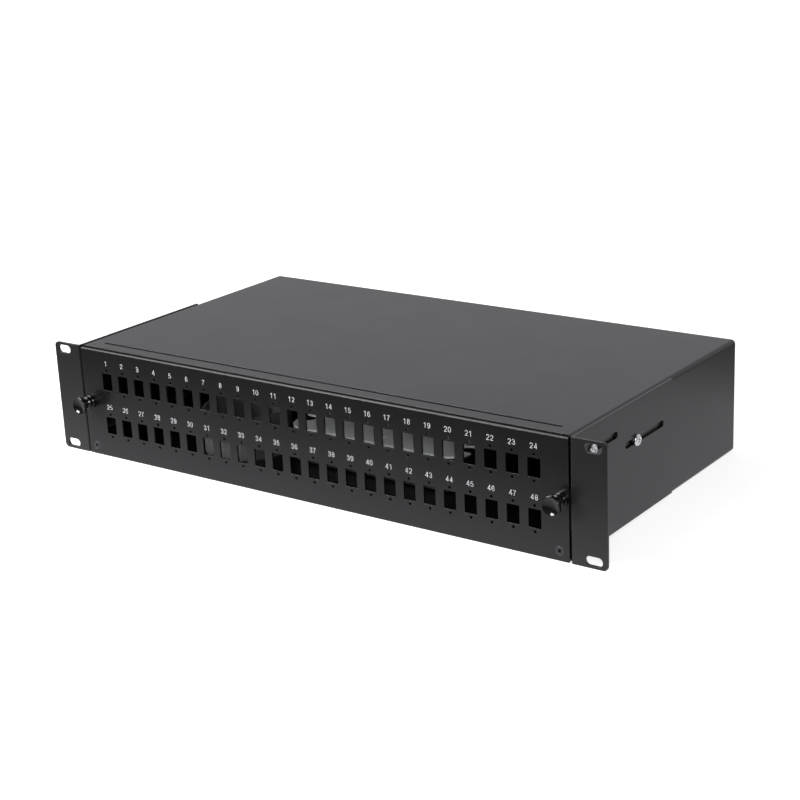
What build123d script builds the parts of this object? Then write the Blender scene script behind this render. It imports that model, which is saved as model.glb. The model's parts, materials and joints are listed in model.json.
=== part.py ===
"""Sliding fibre patch panel for a 19 inch rack, two units high.

Sizes are millimetres. X runs across the front, Y from the front to the back and Z up.
The origin is the centre of the four rack slots, on the face of the ears that meets the
posts of the rack. A drawer with the port panel slides out of a folded steel case on two
ball slides, two push-pull latches hold it shut, and both ears can be set in depth.
"""

import os

from build123d import *

# Clearances that many fits share
HOLE_CLEARANCE = 0.2
THREAD_CLEARANCE = 0.05
SCREW_SPARE = 0.7

# Rack ears: two angle brackets with the standard slot pattern
RACK_SLOT_SPAN = 465.1
RACK_SLOT_RISE = 76.2
RACK_SLOT_LENGTH = 12.6
RACK_SLOT_WIDTH = 6.3
SLOT_TO_CASE = 16.55
SLOT_TO_EAR_SIDE = 3.65
SLOT_TO_EAR_END = 1.9
EAR_SHEET = 2.0
EAR_BEND = 1.2
EAR_CORNER = 3.5
LEG_FOOT_STEP = 2.5
LEG_TAIL = 13.5

# Depth setting of the ears: two slots in each leg, with a clamp screw in each
LEG_SLOT_LENGTH = 54.0
LEG_SLOT_FRONTS = (2.0, 66.5)
LEG_SLOT_DROPS = (16.3, 28.1)
LEG_SLOT_CLEARANCE = 0.3
EAR_SCREW_SETBACKS = (20.0, 15.0)
EAR_SCREW_SIZE = 4.0
EAR_SCREW_HEAD = 8.4
EAR_SCREW_HEAD_RISE = 2.6
EAR_NUT_SIZE = 8.0
EAR_NUT_DEPTH = 3.0

# Case: one folded sheet for the top, the sides and the lower flanges
CASE_HEIGHT = 86.4
CASE_RISE = 0.1
CASE_DEPTH = 238.0
CASE_SHEET = 1.2
CASE_BEND = 2.0
FOLD_BEND = 1.0
LOWER_FLANGE = 14.0
REAR_FLANGE = 12.0
TOP_SLOT_MARGIN = 13.5
TOP_SLOT_WIDTH = 2.8
TOP_SLOT_SETBACK = 10.2
TOP_LIP_DROP = 6.0
TOP_LIP_INSET = 5.6

# Keeper tabs, folded in behind the port panel, which the latches grip
KEEPER_HEIGHT = 29.4
KEEPER_REACH = 17.0
KEEPER_DROP = 6.7
KEEPER_RELIEF = 2.0

# Base plate and rear panel, screwed to the flanges of the case
BASE_SHEET = 1.2
REAR_SHEET = 1.5
SMALL_SCREW_SIZE = 3.0
SMALL_SCREW_HEAD = 5.6
SMALL_SCREW_HEAD_RISE = 1.9
BASE_SCREW_ROWS = 3
BASE_SCREW_MARGIN = 28.0
REAR_SCREW_RISE = 21.5
REAR_SCREW_SPREAD = 108.0

# Port panel: two rows of openings for single fibre adapters
PANEL_SHEET = 1.5
PANEL_SIDE_GAP = 1.25
PANEL_HEAD_GAP = 1.1
PANEL_FOOT_GAP = 0.1
PANEL_BACK_GAP = 1.3
PANEL_CORNER = 1.0
PORT_COLUMNS = 24
PORT_MARGIN = 25.5
PORT_ROW_HEIGHTS = (17.6, -17.4)
PORT_WIDTH = 9.6
PORT_HEIGHT = 13.2
PORT_SCREW_STEP = 2.5
PORT_SCREW_HOLE = 2.1
PANEL_SCREW_SIZE = 3.4
PANEL_SCREW_INSET = 7.4
PANEL_SCREW_RISE = 7.0
PANEL_NUT_SIZE = 5.2
PANEL_NUT_DEPTH = 2.4

# Drawer pan
PAN_SHEET = 1.2
PAN_WALL = 15.5
PAN_REAR_GAP = 12.1
PAN_BEND = 1.8
PAN_FRONT_WALL = 10.6
PAN_EAR_LAP = 9.0
PAN_CORNER_RELIEF = 4.8
PAN_CLEARANCE = 0.6
TIE_SLOT_LENGTH = 14.0
TIE_SLOT_WIDTH = 3.2
TIE_SLOT_SPACING = 9.0
TIE_SLOT_INSET = 28.0
CABLE_NOTCH_WIDTH = 46.0
CABLE_NOTCH_DEPTH = 9.0

# Ball slides between the drawer and the sides of the case
SLIDE_THICKNESS = 10.0
SLIDE_HEIGHT = 16.0
SLIDE_SETBACK = 5.2
SLIDE_OVERLAP = 59.5
SLIDE_SHEET = 1.0
SLIDE_END_GAP = 0.8
BALL_SIZE = 2.2
BALL_CLEARANCE = 0.1
BALLS_PER_RACE = 4
CAGE_END_GAP = 2.75
CAGE_SHEET = 0.5

# Push-pull latches
LATCH_INSET = 5.75
LATCH_HEIGHT = -0.6
GROMMET_COLLAR = 10.8
GROMMET_COLLAR_RISE = 3.0
GROMMET_BARREL = 7.6
GROMMET_LENGTH = 9.5
GROMMET_SPLIT = 0.9
GROMMET_EDGE = 0.75
LATCH_CLEARANCE = 0.25
PLUNGER_SHANK = 4.0
PLUNGER_NECK = 10.4
PLUNGER_NECK_RISE = 6.8
PLUNGER_HEAD = 14.0
PLUNGER_RIM = 3.4
PLUNGER_LIP = 0.6
PLUNGER_DISH = 1.5
PLUNGER_GROOVE = 0.55
PLUNGER_TIP = 1.0

# Splice trays, stacked on two studs in the drawer
SPLICE_LENGTH = 156.0
SPLICE_WIDTH = 104.0
SPLICE_HEIGHT = 12.4
SPLICE_WALL = 1.6
SPLICE_CORNER = 16.0
SPLICE_OFFSET = 17.5
SPLICE_FRONT = 50.5
SPLICE_HUB = 38.0
SPLICE_LANE = 19.4
SPLICE_FEET = 1.5
LID_SHEET = 1.6
LID_LATCH_INSET = 12.5
LID_LATCH_LENGTH = 9.0
LID_LATCH_WIDTH = 5.0
FIBRE_ENTRY = 12.0
STUD_SIZE = 4.0
STUD_CLEARANCE = 0.3
STUD_TOP_SPARE = 2.0
STUD_NUT_SIZE = 10.0
STUD_NUT_RISE = 5.0
STUD_RING = 11.2
COMB_HUB_GAP = 1.0
COMB_WALL_GAP = 11.4
COMB_WIDTH = 26.0
COMB_HEIGHT = 6.0
COMB_FLOOR = 2.0
COMB_SLOTS = 6
COMB_SLOT_WIDTH = 2.8

# Fibre drum beside the splice trays
DRUM_SIZE = 68.0
DRUM_HEIGHT = 33.5
DRUM_WALL = 2.2
DRUM_TRAY_GAP = 10.5
DRUM_FRONT = 26.0
DRUM_FOOT = 2.0
DRUM_FOOT_WIDTH = 16.8
DRUM_TAB_COUNT = 3
DRUM_TAB_LENGTH = 7.0
DRUM_TAB_WIDTH = 14.0
DRUM_TAB_SHEET = 1.8
DRUM_TAB_ANGLE = 30.0
DRUM_TAB_CORNER = 2.3

# Cable glands and blanking plugs in the rear panel
GLAND_OFFSETS = (150.0, 105.0)
GLAND_HEIGHT = -12.0
GLAND_THREAD = 20.0
GLAND_WALL = 3.0
GLAND_SHOULDER = 2.0
GLAND_STEP = 1.1
GLAND_FLANGE = 5.0
GLAND_INNER_LENGTH = 10.0
GLAND_OUTER_LENGTH = 9.0
GLAND_HEX_LENGTH = 8.5
GLAND_DOME = 6.0
GLAND_LIP = 3.0
GLAND_MOUTH_STEP = 1.3
GLAND_SEAL_BORE = 10.0
GLAND_SEAL_LENGTH = 5.0
LOCKNUT_DEPTH = 4.0
PLUG_LIP = 2.5
PLUG_HEAD_RISE = 2.4
PLUG_EDGE = 0.8
PLUG_BARREL_LENGTH = 7.0
PLUG_WALL = 1.6

# Fits worked out from the sizes above: ears, case and port panel
case_width = RACK_SLOT_SPAN - 2 * SLOT_TO_CASE
wall_x = case_width / 2
inner_x = wall_x - CASE_SHEET
ear_front = -EAR_SHEET
ear_reach = SLOT_TO_CASE + RACK_SLOT_LENGTH / 2 + SLOT_TO_EAR_SIDE
ear_height = RACK_SLOT_RISE + RACK_SLOT_WIDTH + 2 * SLOT_TO_EAR_END
leg_length = LEG_SLOT_FRONTS[-1] + LEG_SLOT_LENGTH + LEG_TAIL
panel_back = ear_front + PANEL_SHEET
case_front = panel_back + PANEL_BACK_GAP
case_rear = case_front + CASE_DEPTH
case_top = CASE_HEIGHT / 2 + CASE_RISE
case_bottom = case_top - CASE_HEIGHT
leg_slot_heights = [case_top - drop for drop in LEG_SLOT_DROPS]
ear_screw_places = [
    (front + setback, height)
    for front, setback, height in zip(LEG_SLOT_FRONTS, EAR_SCREW_SETBACKS, leg_slot_heights)
]
base_bottom = case_bottom + CASE_SHEET
base_top = base_bottom + BASE_SHEET
rear_panel_back = case_rear - CASE_SHEET
rear_panel_front = rear_panel_back - REAR_SHEET
fold_radius = FOLD_BEND + CASE_SHEET
top_slot_length = case_width - 2 * TOP_SLOT_MARGIN

panel_half = wall_x - PANEL_SIDE_GAP
panel_top = case_top - PANEL_HEAD_GAP
panel_bottom = case_bottom + PANEL_FOOT_GAP
port_pitch = 2 * (panel_half - PORT_MARGIN) / (PORT_COLUMNS - 1)
port_screw_spacing = PORT_HEIGHT + 2 * PORT_SCREW_STEP
panel_screw_x = panel_half - PANEL_SCREW_INSET
panel_screw_z = panel_bottom + PANEL_SCREW_RISE
panel_screw_points = [(-panel_screw_x, panel_screw_z), (panel_screw_x, panel_screw_z)]
panel_screw_hole = PANEL_SCREW_SIZE / 2 + HOLE_CLEARANCE / 2
latch_x = panel_half - LATCH_INSET
latch_points = [(-latch_x, LATCH_HEIGHT), (latch_x, LATCH_HEIGHT)]
keeper_z = LATCH_HEIGHT - KEEPER_DROP

# Places of the small screws of the case
screw_hole = SMALL_SCREW_SIZE / 2 + HOLE_CLEARANCE / 2
base_screw_x = wall_x - LOWER_FLANGE / 2
base_screw_pitch = (CASE_DEPTH - 2 * BASE_SCREW_MARGIN) / (BASE_SCREW_ROWS - 1)
base_screw_points = [
    (side * base_screw_x, case_front + BASE_SCREW_MARGIN + row * base_screw_pitch)
    for side in (-1, 1)
    for row in range(BASE_SCREW_ROWS)
]
rear_screw_x = wall_x - REAR_FLANGE / 2
rear_screw_points = [(side * rear_screw_x, end * REAR_SCREW_RISE) for side in (-1, 1) for end in (-1, 1)]
rear_screw_points += [(side * REAR_SCREW_SPREAD, case_top - REAR_FLANGE / 2) for side in (-1, 1)]

# Drawer pan, ball slides and their cages
pan_half = inner_x - SLIDE_THICKNESS
pan_bottom = base_top + PAN_CLEARANCE
pan_floor = pan_bottom + PAN_SHEET
pan_rear = rear_panel_back - GLAND_INNER_LENGTH - PAN_REAR_GAP
slide_front = case_front + SLIDE_SETBACK
slide_length = pan_rear - slide_front
slide_z = base_bottom + CASE_BEND + HOLE_CLEARANCE + SLIDE_HEIGHT / 2
race_outer = SLIDE_HEIGHT / 2 - SLIDE_SHEET
race_inner = race_outer - BALL_SIZE - 2 * BALL_CLEARANCE
cage_length = SLIDE_OVERLAP - 2 * CAGE_END_GAP
cage_front = slide_front + (slide_length - cage_length) / 2
cage_back = inner_x - SLIDE_SHEET - SLIDE_END_GAP / 2
cage_reach = SLIDE_THICKNESS - 3 * SLIDE_SHEET - SLIDE_END_GAP
ball_x = cage_back - cage_reach / 2
ball_z = (race_outer + race_inner) / 2
ball_pitch = cage_length / BALLS_PER_RACE
ball_rows = [cage_front + (index + 0.5) * ball_pitch for index in range(BALLS_PER_RACE)]

# Splice trays on their studs, and the drum beside them
splice_centre = (SPLICE_OFFSET, SPLICE_FRONT + SPLICE_WIDTH / 2)
splice_levels = [pan_floor + SPLICE_FEET + level * SPLICE_HEIGHT for level in range(2)]
lid_bottom = splice_levels[-1] + SPLICE_HEIGHT
lid_top = lid_bottom + LID_SHEET
hub_offset = SPLICE_LENGTH / 2 - SPLICE_WALL - SPLICE_LANE - SPLICE_HUB / 2
stud_places = [(splice_centre[0] + side * hub_offset, splice_centre[1]) for side in (-1, 1)]
stud_hole = STUD_SIZE / 2 + STUD_CLEARANCE
entry_spread = SPLICE_WIDTH - 2 * SPLICE_CORNER - FIBRE_ENTRY
comb_length = 2 * hub_offset - SPLICE_HUB - 2 * COMB_HUB_GAP
comb_offset = SPLICE_WIDTH / 2 - SPLICE_WALL - COMB_WALL_GAP - COMB_WIDTH / 2
comb_places = [(splice_centre[0], splice_centre[1] + side * comb_offset) for side in (-1, 1)]
drum_radius = DRUM_SIZE / 2
drum_centre = (SPLICE_OFFSET - SPLICE_LENGTH / 2 - DRUM_TRAY_GAP - drum_radius, DRUM_FRONT + drum_radius)
drum_top = pan_floor + DRUM_HEIGHT
drum_foot_hole = drum_radius - DRUM_WALL - DRUM_FOOT_WIDTH
drum_screw_circle = drum_foot_hole + DRUM_FOOT_WIDTH / 2

# Cable glands, from the rear panel outwards
gland_hex = GLAND_THREAD / 2 + GLAND_SHOULDER
gland_bore = GLAND_THREAD / 2 - GLAND_WALL
gland_outer = GLAND_THREAD / 2 - GLAND_STEP
gland_mouth = rear_panel_back + GLAND_FLANGE
gland_nut_front = gland_mouth + HOLE_CLEARANCE
gland_nut_length = GLAND_OUTER_LENGTH + GLAND_SEAL_LENGTH + GLAND_LIP
seal_front = gland_nut_front + GLAND_OUTER_LENGTH


def front_plane(y):
    """Upright plane at depth y that looks to the front, with X to the right and Z up."""
    return Plane.XZ.offset(-y)


def side_plane(x):
    """Upright plane at x, with Y to the right and Z up."""
    return Plane.YZ.offset(x)


def folded_sheet(corners, outer_radius, sheet, side):
    """Section of a folded sheet, from the corners of its outer face."""
    with BuildSketch() as section:
        with BuildLine():
            FilletPolyline(*corners, radius=outer_radius)
            offset(amount=sheet, side=side)
        make_face()
    return section.sketch


def mirrored(right):
    """The left-hand piece of a pair."""
    with BuildPart() as left:
        mirror(right, about=Plane.YZ)
    return left.part


def turned(profile):
    """A round piece about Z from its half profile of (radius, height) corners."""
    with BuildPart() as piece:
        with BuildSketch(Plane.XZ):
            with BuildLine():
                Polyline(*profile, close=True)
            make_face()
        revolve(axis=Axis.Z)
    return piece.part


def pan_head_screw(size, head, rise, length):
    """Screw along Z with its seat at the origin, its head up and its shank down."""
    bevel = rise / 3
    return turned([
        (0, -length),
        (size / 2, -length),
        (size / 2, 0),
        (head / 2, 0),
        (head / 2, rise - bevel),
        (head / 2 - bevel, rise),
        (0, rise),
    ])


def flush_screw(size, sheet, length):
    """Screw along Z whose cone fills a sheet, with its flat face at the origin."""
    return turned([
        (0, -length),
        (size / 2, -length),
        (size / 2, -sheet),
        (size / 2 + sheet, 0),
        (0, 0),
    ])


def set_out(piece, places):
    """Copies of one piece at each place, as a group of separate solids."""
    with BuildPart() as group:
        with Locations(*places):
            add(piece)
    return group.part


def screw_from_front(x, z):
    """Plane on the front of the port panel, looking out to the front."""
    return Plane(origin=(x, ear_front, z), x_dir=(1, 0, 0), z_dir=(0, -1, 0))


def screw_from_below(x, y):
    """Plane on the underside of the case, looking down."""
    return Plane(origin=(x, y, case_bottom), x_dir=(1, 0, 0), z_dir=(0, 0, -1))


def screw_from_back(x, z):
    """Plane on the back of the case, looking out to the back."""
    return Plane(origin=(x, case_rear, z), x_dir=(1, 0, 0), z_dir=(0, 1, 0))


def ear_screw_planes(x):
    """Planes at the clamp screws of both ears, at x from the middle, looking outwards."""
    return [
        Plane(origin=(side * x, y, z), z_dir=(side, 0, 0))
        for side in (-1, 1)
        for y, z in ear_screw_places
    ]


def gland_axis(x, y):
    """Plane at depth y on a gland's axis, looking out to the back."""
    return Plane(origin=(x, y, GLAND_HEIGHT), x_dir=(1, 0, 0), z_dir=(0, 1, 0))


def save(piece, name):
    """Writes one piece to its own file, under its own name."""
    piece.label = name
    export_step(piece, f"parts/{name}.step")


def rack_ear():
    """Right ear: an angle bracket whose leg lies on the side of the case."""
    with BuildPart() as ear:
        with BuildSketch(Plane.XY.offset(-ear_height / 2)) as section:
            with Locations((wall_x, ear_front)):
                Rectangle(ear_reach, EAR_SHEET, align=(Align.MIN, Align.MIN))
                Rectangle(EAR_SHEET, leg_length + EAR_SHEET, align=(Align.MIN, Align.MIN))
            heel = section.vertices().sort_by_distance((wall_x, ear_front))[0]
            crook = section.vertices().sort_by_distance((wall_x + EAR_SHEET, 0))[0]
            fillet([heel, crook], radius=EAR_BEND)
        extrude(amount=ear_height)
        with BuildSketch(side_plane(wall_x)):
            with Locations((EAR_BEND, -ear_height / 2)):
                Rectangle(leg_length, LEG_FOOT_STEP, align=(Align.MIN, Align.MIN))
        extrude(amount=EAR_SHEET, mode=Mode.SUBTRACT)
        with BuildSketch(front_plane(ear_front)):
            with Locations((RACK_SLOT_SPAN / 2, 0)):
                with GridLocations(0, RACK_SLOT_RISE, 1, 2):
                    SlotOverall(RACK_SLOT_LENGTH, RACK_SLOT_WIDTH)
        extrude(amount=-EAR_SHEET, mode=Mode.SUBTRACT)
        with BuildSketch(side_plane(wall_x)):
            for start, height in zip(LEG_SLOT_FRONTS, leg_slot_heights):
                with Locations((start + LEG_SLOT_LENGTH / 2, height)):
                    SlotOverall(LEG_SLOT_LENGTH, EAR_SCREW_SIZE + 2 * LEG_SLOT_CLEARANCE)
        extrude(amount=EAR_SHEET, mode=Mode.SUBTRACT)
        outer_corners = ear.edges().filter_by(Axis.Y).group_by(Axis.X)[-1]
        fillet(outer_corners, radius=EAR_CORNER)
    return ear.part


def case_wrap():
    """Top, sides and lower flanges from one sheet, with rear flanges and keeper tabs."""
    flange_end = wall_x - LOWER_FLANGE
    corners = [
        (flange_end, case_bottom),
        (wall_x, case_bottom),
        (wall_x, case_top),
        (-wall_x, case_top),
        (-wall_x, case_bottom),
        (-flange_end, case_bottom),
    ]
    corner_radius = CASE_BEND + CASE_SHEET
    with BuildPart() as wrap:
        with BuildSketch(front_plane(case_front)):
            add(folded_sheet(corners, corner_radius, CASE_SHEET, Side.LEFT))
        extrude(amount=-CASE_DEPTH)

        # Rear flanges, with the bend that turns them in
        with BuildSketch(front_plane(case_rear)):
            with Locations((0, (case_top + case_bottom) / 2)):
                RectangleRounded(case_width, CASE_HEIGHT, corner_radius)
            with Locations((0, case_bottom - REAR_FLANGE)):
                Rectangle(case_width - 2 * REAR_FLANGE, CASE_HEIGHT, mode=Mode.SUBTRACT,
                          align=(Align.CENTER, Align.MIN))
        extrude(amount=CASE_SHEET)
        rear_edges = wrap.faces().sort_by(Axis.Y)[-1].edges()
        outline = rear_edges.filter_by(
            lambda edge: edge.center().Z > case_bottom + corner_radius
            and (abs(edge.center().X) > wall_x - corner_radius or edge.center().Z > case_top - corner_radius)
        )
        fillet(outline, radius=fold_radius)

        # Keeper tabs, each with a relief notch above and below its bend
        relief_depth = fold_radius + KEEPER_RELIEF
        for side in (-1, 1):
            with BuildSketch(front_plane(case_front)):
                with Locations((side * (wall_x - KEEPER_REACH / 2), keeper_z)):
                    Rectangle(KEEPER_REACH, KEEPER_HEIGHT)
            extrude(amount=-CASE_SHEET)
            with BuildSketch(side_plane(side * wall_x)):
                with Locations((case_front + relief_depth / 2, keeper_z)):
                    with GridLocations(0, KEEPER_HEIGHT + KEEPER_RELIEF, 1, 2):
                        Rectangle(relief_depth, KEEPER_RELIEF)
            extrude(amount=-side * CASE_SHEET, mode=Mode.SUBTRACT)
        bend_edges = wrap.edges().filter_by(Axis.Z).filter_by(
            lambda edge: abs(abs(edge.center().X) - wall_x) < fold_radius / 4
            and edge.center().Y < case_front + fold_radius / 4
            and abs(edge.center().Z - keeper_z) < KEEPER_RELIEF
        )
        fillet(bend_edges, radius=fold_radius)
        with BuildSketch(front_plane(case_front)):
            with Locations(*latch_points):
                Circle(GROMMET_BARREL / 2 + 2 * LATCH_CLEARANCE)
        extrude(amount=-CASE_SHEET, mode=Mode.SUBTRACT)

        # Long slot in the top, with a stiffening lip turned down behind it
        slot_y = case_front + TOP_SLOT_SETBACK + TOP_SLOT_WIDTH / 2
        with BuildSketch(Plane.XY.offset(case_top)):
            with Locations((0, slot_y)):
                SlotOverall(top_slot_length, TOP_SLOT_WIDTH)
        extrude(amount=-CASE_SHEET, mode=Mode.SUBTRACT)
        with BuildSketch(Plane.XY.offset(case_top - CASE_SHEET)):
            with Locations((0, slot_y + TOP_SLOT_WIDTH / 2 + CASE_SHEET / 2)):
                Rectangle(top_slot_length - 2 * TOP_LIP_INSET, CASE_SHEET)
        extrude(amount=-TOP_LIP_DROP)

        # Screw holes for the ears, the base plate and the rear panel
        with BuildSketch(side_plane(0)):
            with Locations(*ear_screw_places):
                Circle(EAR_SCREW_SIZE / 2 + HOLE_CLEARANCE)
        extrude(amount=wall_x, both=True, mode=Mode.SUBTRACT)
        with Locations(*[screw_from_below(x, y) for x, y in base_screw_points]):
            CounterSinkHole(screw_hole, screw_hole + CASE_SHEET, CASE_SHEET, counter_sink_angle=90)
        with BuildSketch(front_plane(case_rear)):
            with Locations(*rear_screw_points):
                Circle(screw_hole)
        extrude(amount=CASE_SHEET, mode=Mode.SUBTRACT)
    return wrap.part


def base_plate():
    """Flat bottom, laid on the lower flanges of the case."""
    half = inner_x - CASE_BEND - HOLE_CLEARANCE
    front = case_front + fold_radius
    with BuildPart() as plate:
        with BuildSketch(Plane.XY.offset(base_bottom)):
            with Locations((0, (front + rear_panel_front) / 2)):
                Rectangle(2 * half, rear_panel_front - front)
            with Locations(*base_screw_points):
                Circle(screw_hole, mode=Mode.SUBTRACT)
        extrude(amount=BASE_SHEET)
    return plate.part


def rear_panel():
    """Gland plate, screwed to the inside of the rear flanges."""
    top = case_top - CASE_SHEET - HOLE_CLEARANCE
    half = inner_x - HOLE_CLEARANCE
    with BuildPart() as panel:
        with BuildSketch(front_plane(rear_panel_back)):
            with Locations((0, (top + base_bottom) / 2)):
                RectangleRounded(2 * half, top - base_bottom, CASE_BEND + HOLE_CLEARANCE)
            with Locations(*rear_screw_points):
                Circle(screw_hole, mode=Mode.SUBTRACT)
            for offset_x in GLAND_OFFSETS:
                with Locations((-offset_x, GLAND_HEIGHT), (offset_x, GLAND_HEIGHT)):
                    Circle(GLAND_THREAD / 2 + HOLE_CLEARANCE, mode=Mode.SUBTRACT)
        extrude(amount=REAR_SHEET)
    return panel.part


def front_panel():
    """Port panel with its openings, adapter screw holes and latch holes."""
    with BuildPart() as panel:
        with BuildSketch(front_plane(panel_back)):
            with Locations((0, (panel_bottom + panel_top) / 2)):
                RectangleRounded(2 * panel_half, panel_top - panel_bottom, PANEL_CORNER)
            for height in PORT_ROW_HEIGHTS:
                with Locations((0, height)):
                    with GridLocations(port_pitch, 0, PORT_COLUMNS, 1):
                        Rectangle(PORT_WIDTH, PORT_HEIGHT, mode=Mode.SUBTRACT)
                    with GridLocations(port_pitch, port_screw_spacing, PORT_COLUMNS, 2):
                        Circle(PORT_SCREW_HOLE / 2, mode=Mode.SUBTRACT)
            with Locations(*latch_points):
                Circle(GROMMET_BARREL / 2 + LATCH_CLEARANCE, mode=Mode.SUBTRACT)
        extrude(amount=PANEL_SHEET)
        sink = panel_screw_hole + PANEL_SHEET
        with Locations(*[screw_from_front(x, z) for x, z in panel_screw_points]):
            CounterSinkHole(panel_screw_hole, sink, PANEL_SHEET, counter_sink_angle=90)
    return panel.part


def drawer_pan():
    """Shallow pan of the drawer, with a wide front wall that the port panel is screwed to."""
    ear_start = pan_half - PAN_EAR_LAP
    ear_end = panel_half - HOLE_CLEARANCE
    ear_bottom = base_bottom + HOLE_CLEARANCE
    front_top = pan_bottom + PAN_FRONT_WALL
    nut_room = PANEL_NUT_DEPTH + SCREW_SPARE + HOLE_CLEARANCE
    with BuildPart() as pan:
        with BuildSketch(Plane.XY.offset(pan_bottom)):
            with Locations((0, (panel_back + pan_rear) / 2)):
                Rectangle(2 * pan_half, pan_rear - panel_back)
        extrude(amount=PAN_WALL)
        lower_edges = pan.faces().sort_by(Axis.Z)[0].edges()
        fillet(lower_edges, radius=PAN_BEND)
        offset(amount=-PAN_SHEET, openings=pan.faces().sort_by(Axis.Z)[-1])

        # Lower front wall, with an ear at each end for the panel screws
        inside_front = panel_back + PAN_SHEET
        with BuildSketch(Plane.XY.offset(front_top)):
            with Locations((0, inside_front)):
                Rectangle(2 * pan_half, 2 * nut_room)
        extrude(amount=PAN_WALL, mode=Mode.SUBTRACT)
        with BuildSketch(front_plane(panel_back)):
            for side in (-1, 1):
                with Locations((side * (ear_start + ear_end) / 2, (ear_bottom + front_top) / 2)):
                    Rectangle(ear_end - ear_start, front_top - ear_bottom)
        extrude(amount=-PAN_SHEET)
        with BuildSketch(front_plane(panel_back)):
            with Locations(*panel_screw_points):
                Circle(panel_screw_hole)
        extrude(amount=-PAN_SHEET, mode=Mode.SUBTRACT)

        # Corner relief behind the ears, for the nuts of the panel screws
        with BuildSketch(Plane.XY.offset(pan_bottom)):
            for side in (-1, 1):
                with Locations((side * pan_half, inside_front + nut_room / 2)):
                    Rectangle(PAN_CORNER_RELIEF, nut_room)
        extrude(amount=PAN_WALL, mode=Mode.SUBTRACT)

        # Pairs of slots for cable ties, and notches where the cables come in
        with BuildSketch(Plane.XY.offset(pan_bottom)):
            for offset_x in GLAND_OFFSETS:
                for side in (-1, 1):
                    with Locations((side * offset_x, pan_rear - TIE_SLOT_INSET)):
                        with GridLocations(TIE_SLOT_SPACING, 0, 2, 1):
                            SlotOverall(TIE_SLOT_LENGTH, TIE_SLOT_WIDTH, rotation=90)
        extrude(amount=PAN_SHEET, mode=Mode.SUBTRACT)
        with BuildSketch(front_plane(pan_rear)):
            with Locations(*[(side * GLAND_OFFSETS[0], pan_bottom + PAN_WALL) for side in (-1, 1)]):
                Rectangle(CABLE_NOTCH_WIDTH, 2 * CABLE_NOTCH_DEPTH)
        extrude(amount=2 * PAN_SHEET, mode=Mode.SUBTRACT)
    return pan.part


def channel(half_height, depth, back, sheet, length):
    """Right slide member: a channel whose back is at x = back and whose legs run by depth."""
    side = 1 if depth > 0 else -1
    with BuildPart() as member:
        with BuildSketch(front_plane(slide_front)):
            with Locations((back + depth / 2, slide_z)):
                Rectangle(abs(depth), 2 * half_height)
            with Locations((back + side * sheet + depth / 2, slide_z)):
                Rectangle(abs(depth), 2 * (half_height - sheet), mode=Mode.SUBTRACT)
        extrude(amount=-length)
    return member.part


def slide_members():
    """Outer channel on the case and inner channel on the drawer, legs facing each other."""
    reach = SLIDE_THICKNESS - SLIDE_END_GAP
    outer = channel(SLIDE_HEIGHT / 2, -reach, inner_x, SLIDE_SHEET, slide_length)
    inner_reach = SLIDE_THICKNESS - 2 * SLIDE_SHEET - CAGE_SHEET - SLIDE_END_GAP
    inner = channel(race_inner, inner_reach, pan_half, SLIDE_SHEET, slide_length)
    return outer, inner


def ball_cage():
    """Right cage: a channel strip between the races, with a hole for each ball."""
    with BuildPart() as cage:
        with BuildSketch(front_plane(cage_front)):
            with Locations((cage_back - cage_reach / 2, slide_z)):
                Rectangle(cage_reach, 2 * ball_z + CAGE_SHEET)
            with Locations((cage_back - cage_reach / 2 - CAGE_SHEET, slide_z)):
                Rectangle(cage_reach, 2 * ball_z - CAGE_SHEET, mode=Mode.SUBTRACT)
        extrude(amount=-cage_length)
        with BuildSketch(Plane.XY.offset(slide_z)):
            with Locations(*[(ball_x, y) for y in ball_rows]):
                Circle(BALL_SIZE / 2 + BALL_CLEARANCE / 2)
        extrude(amount=SLIDE_HEIGHT / 2, both=True, mode=Mode.SUBTRACT)
    return cage.part


def slide_balls():
    """Balls of the right slide, in the upper and the lower race."""
    places = [(ball_x, y, slide_z + side * ball_z) for side in (-1, 1) for y in ball_rows]
    with BuildPart() as balls:
        with Locations(*places):
            Sphere(BALL_SIZE / 2)
    return balls.part


def latch_grommet(x):
    """Split grommet: a collar in front of the panel and four legs that grip the keeper."""
    bore = PLUNGER_SHANK / 2 + LATCH_CLEARANCE
    barrel = GROMMET_BARREL / 2
    collar = GROMMET_COLLAR / 2
    round_body = turned([
        (bore, -GROMMET_LENGTH),
        (barrel - GROMMET_EDGE, -GROMMET_LENGTH),
        (barrel, -GROMMET_LENGTH + 2 * GROMMET_EDGE),
        (barrel, 0),
        (collar, 0),
        (collar, GROMMET_COLLAR_RISE - GROMMET_EDGE),
        (collar - GROMMET_EDGE, GROMMET_COLLAR_RISE),
        (bore, GROMMET_COLLAR_RISE),
    ])
    split_length = GROMMET_LENGTH - PANEL_SHEET - 2 * GROMMET_EDGE
    axis = screw_from_front(x, LATCH_HEIGHT)
    with BuildPart() as grommet:
        with Locations(axis):
            add(round_body)
        with BuildSketch(axis.offset(-GROMMET_LENGTH)):
            Rectangle(GROMMET_COLLAR, GROMMET_SPLIT)
            Rectangle(GROMMET_SPLIT, GROMMET_COLLAR)
        extrude(amount=split_length, mode=Mode.SUBTRACT)
    return grommet.part


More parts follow.
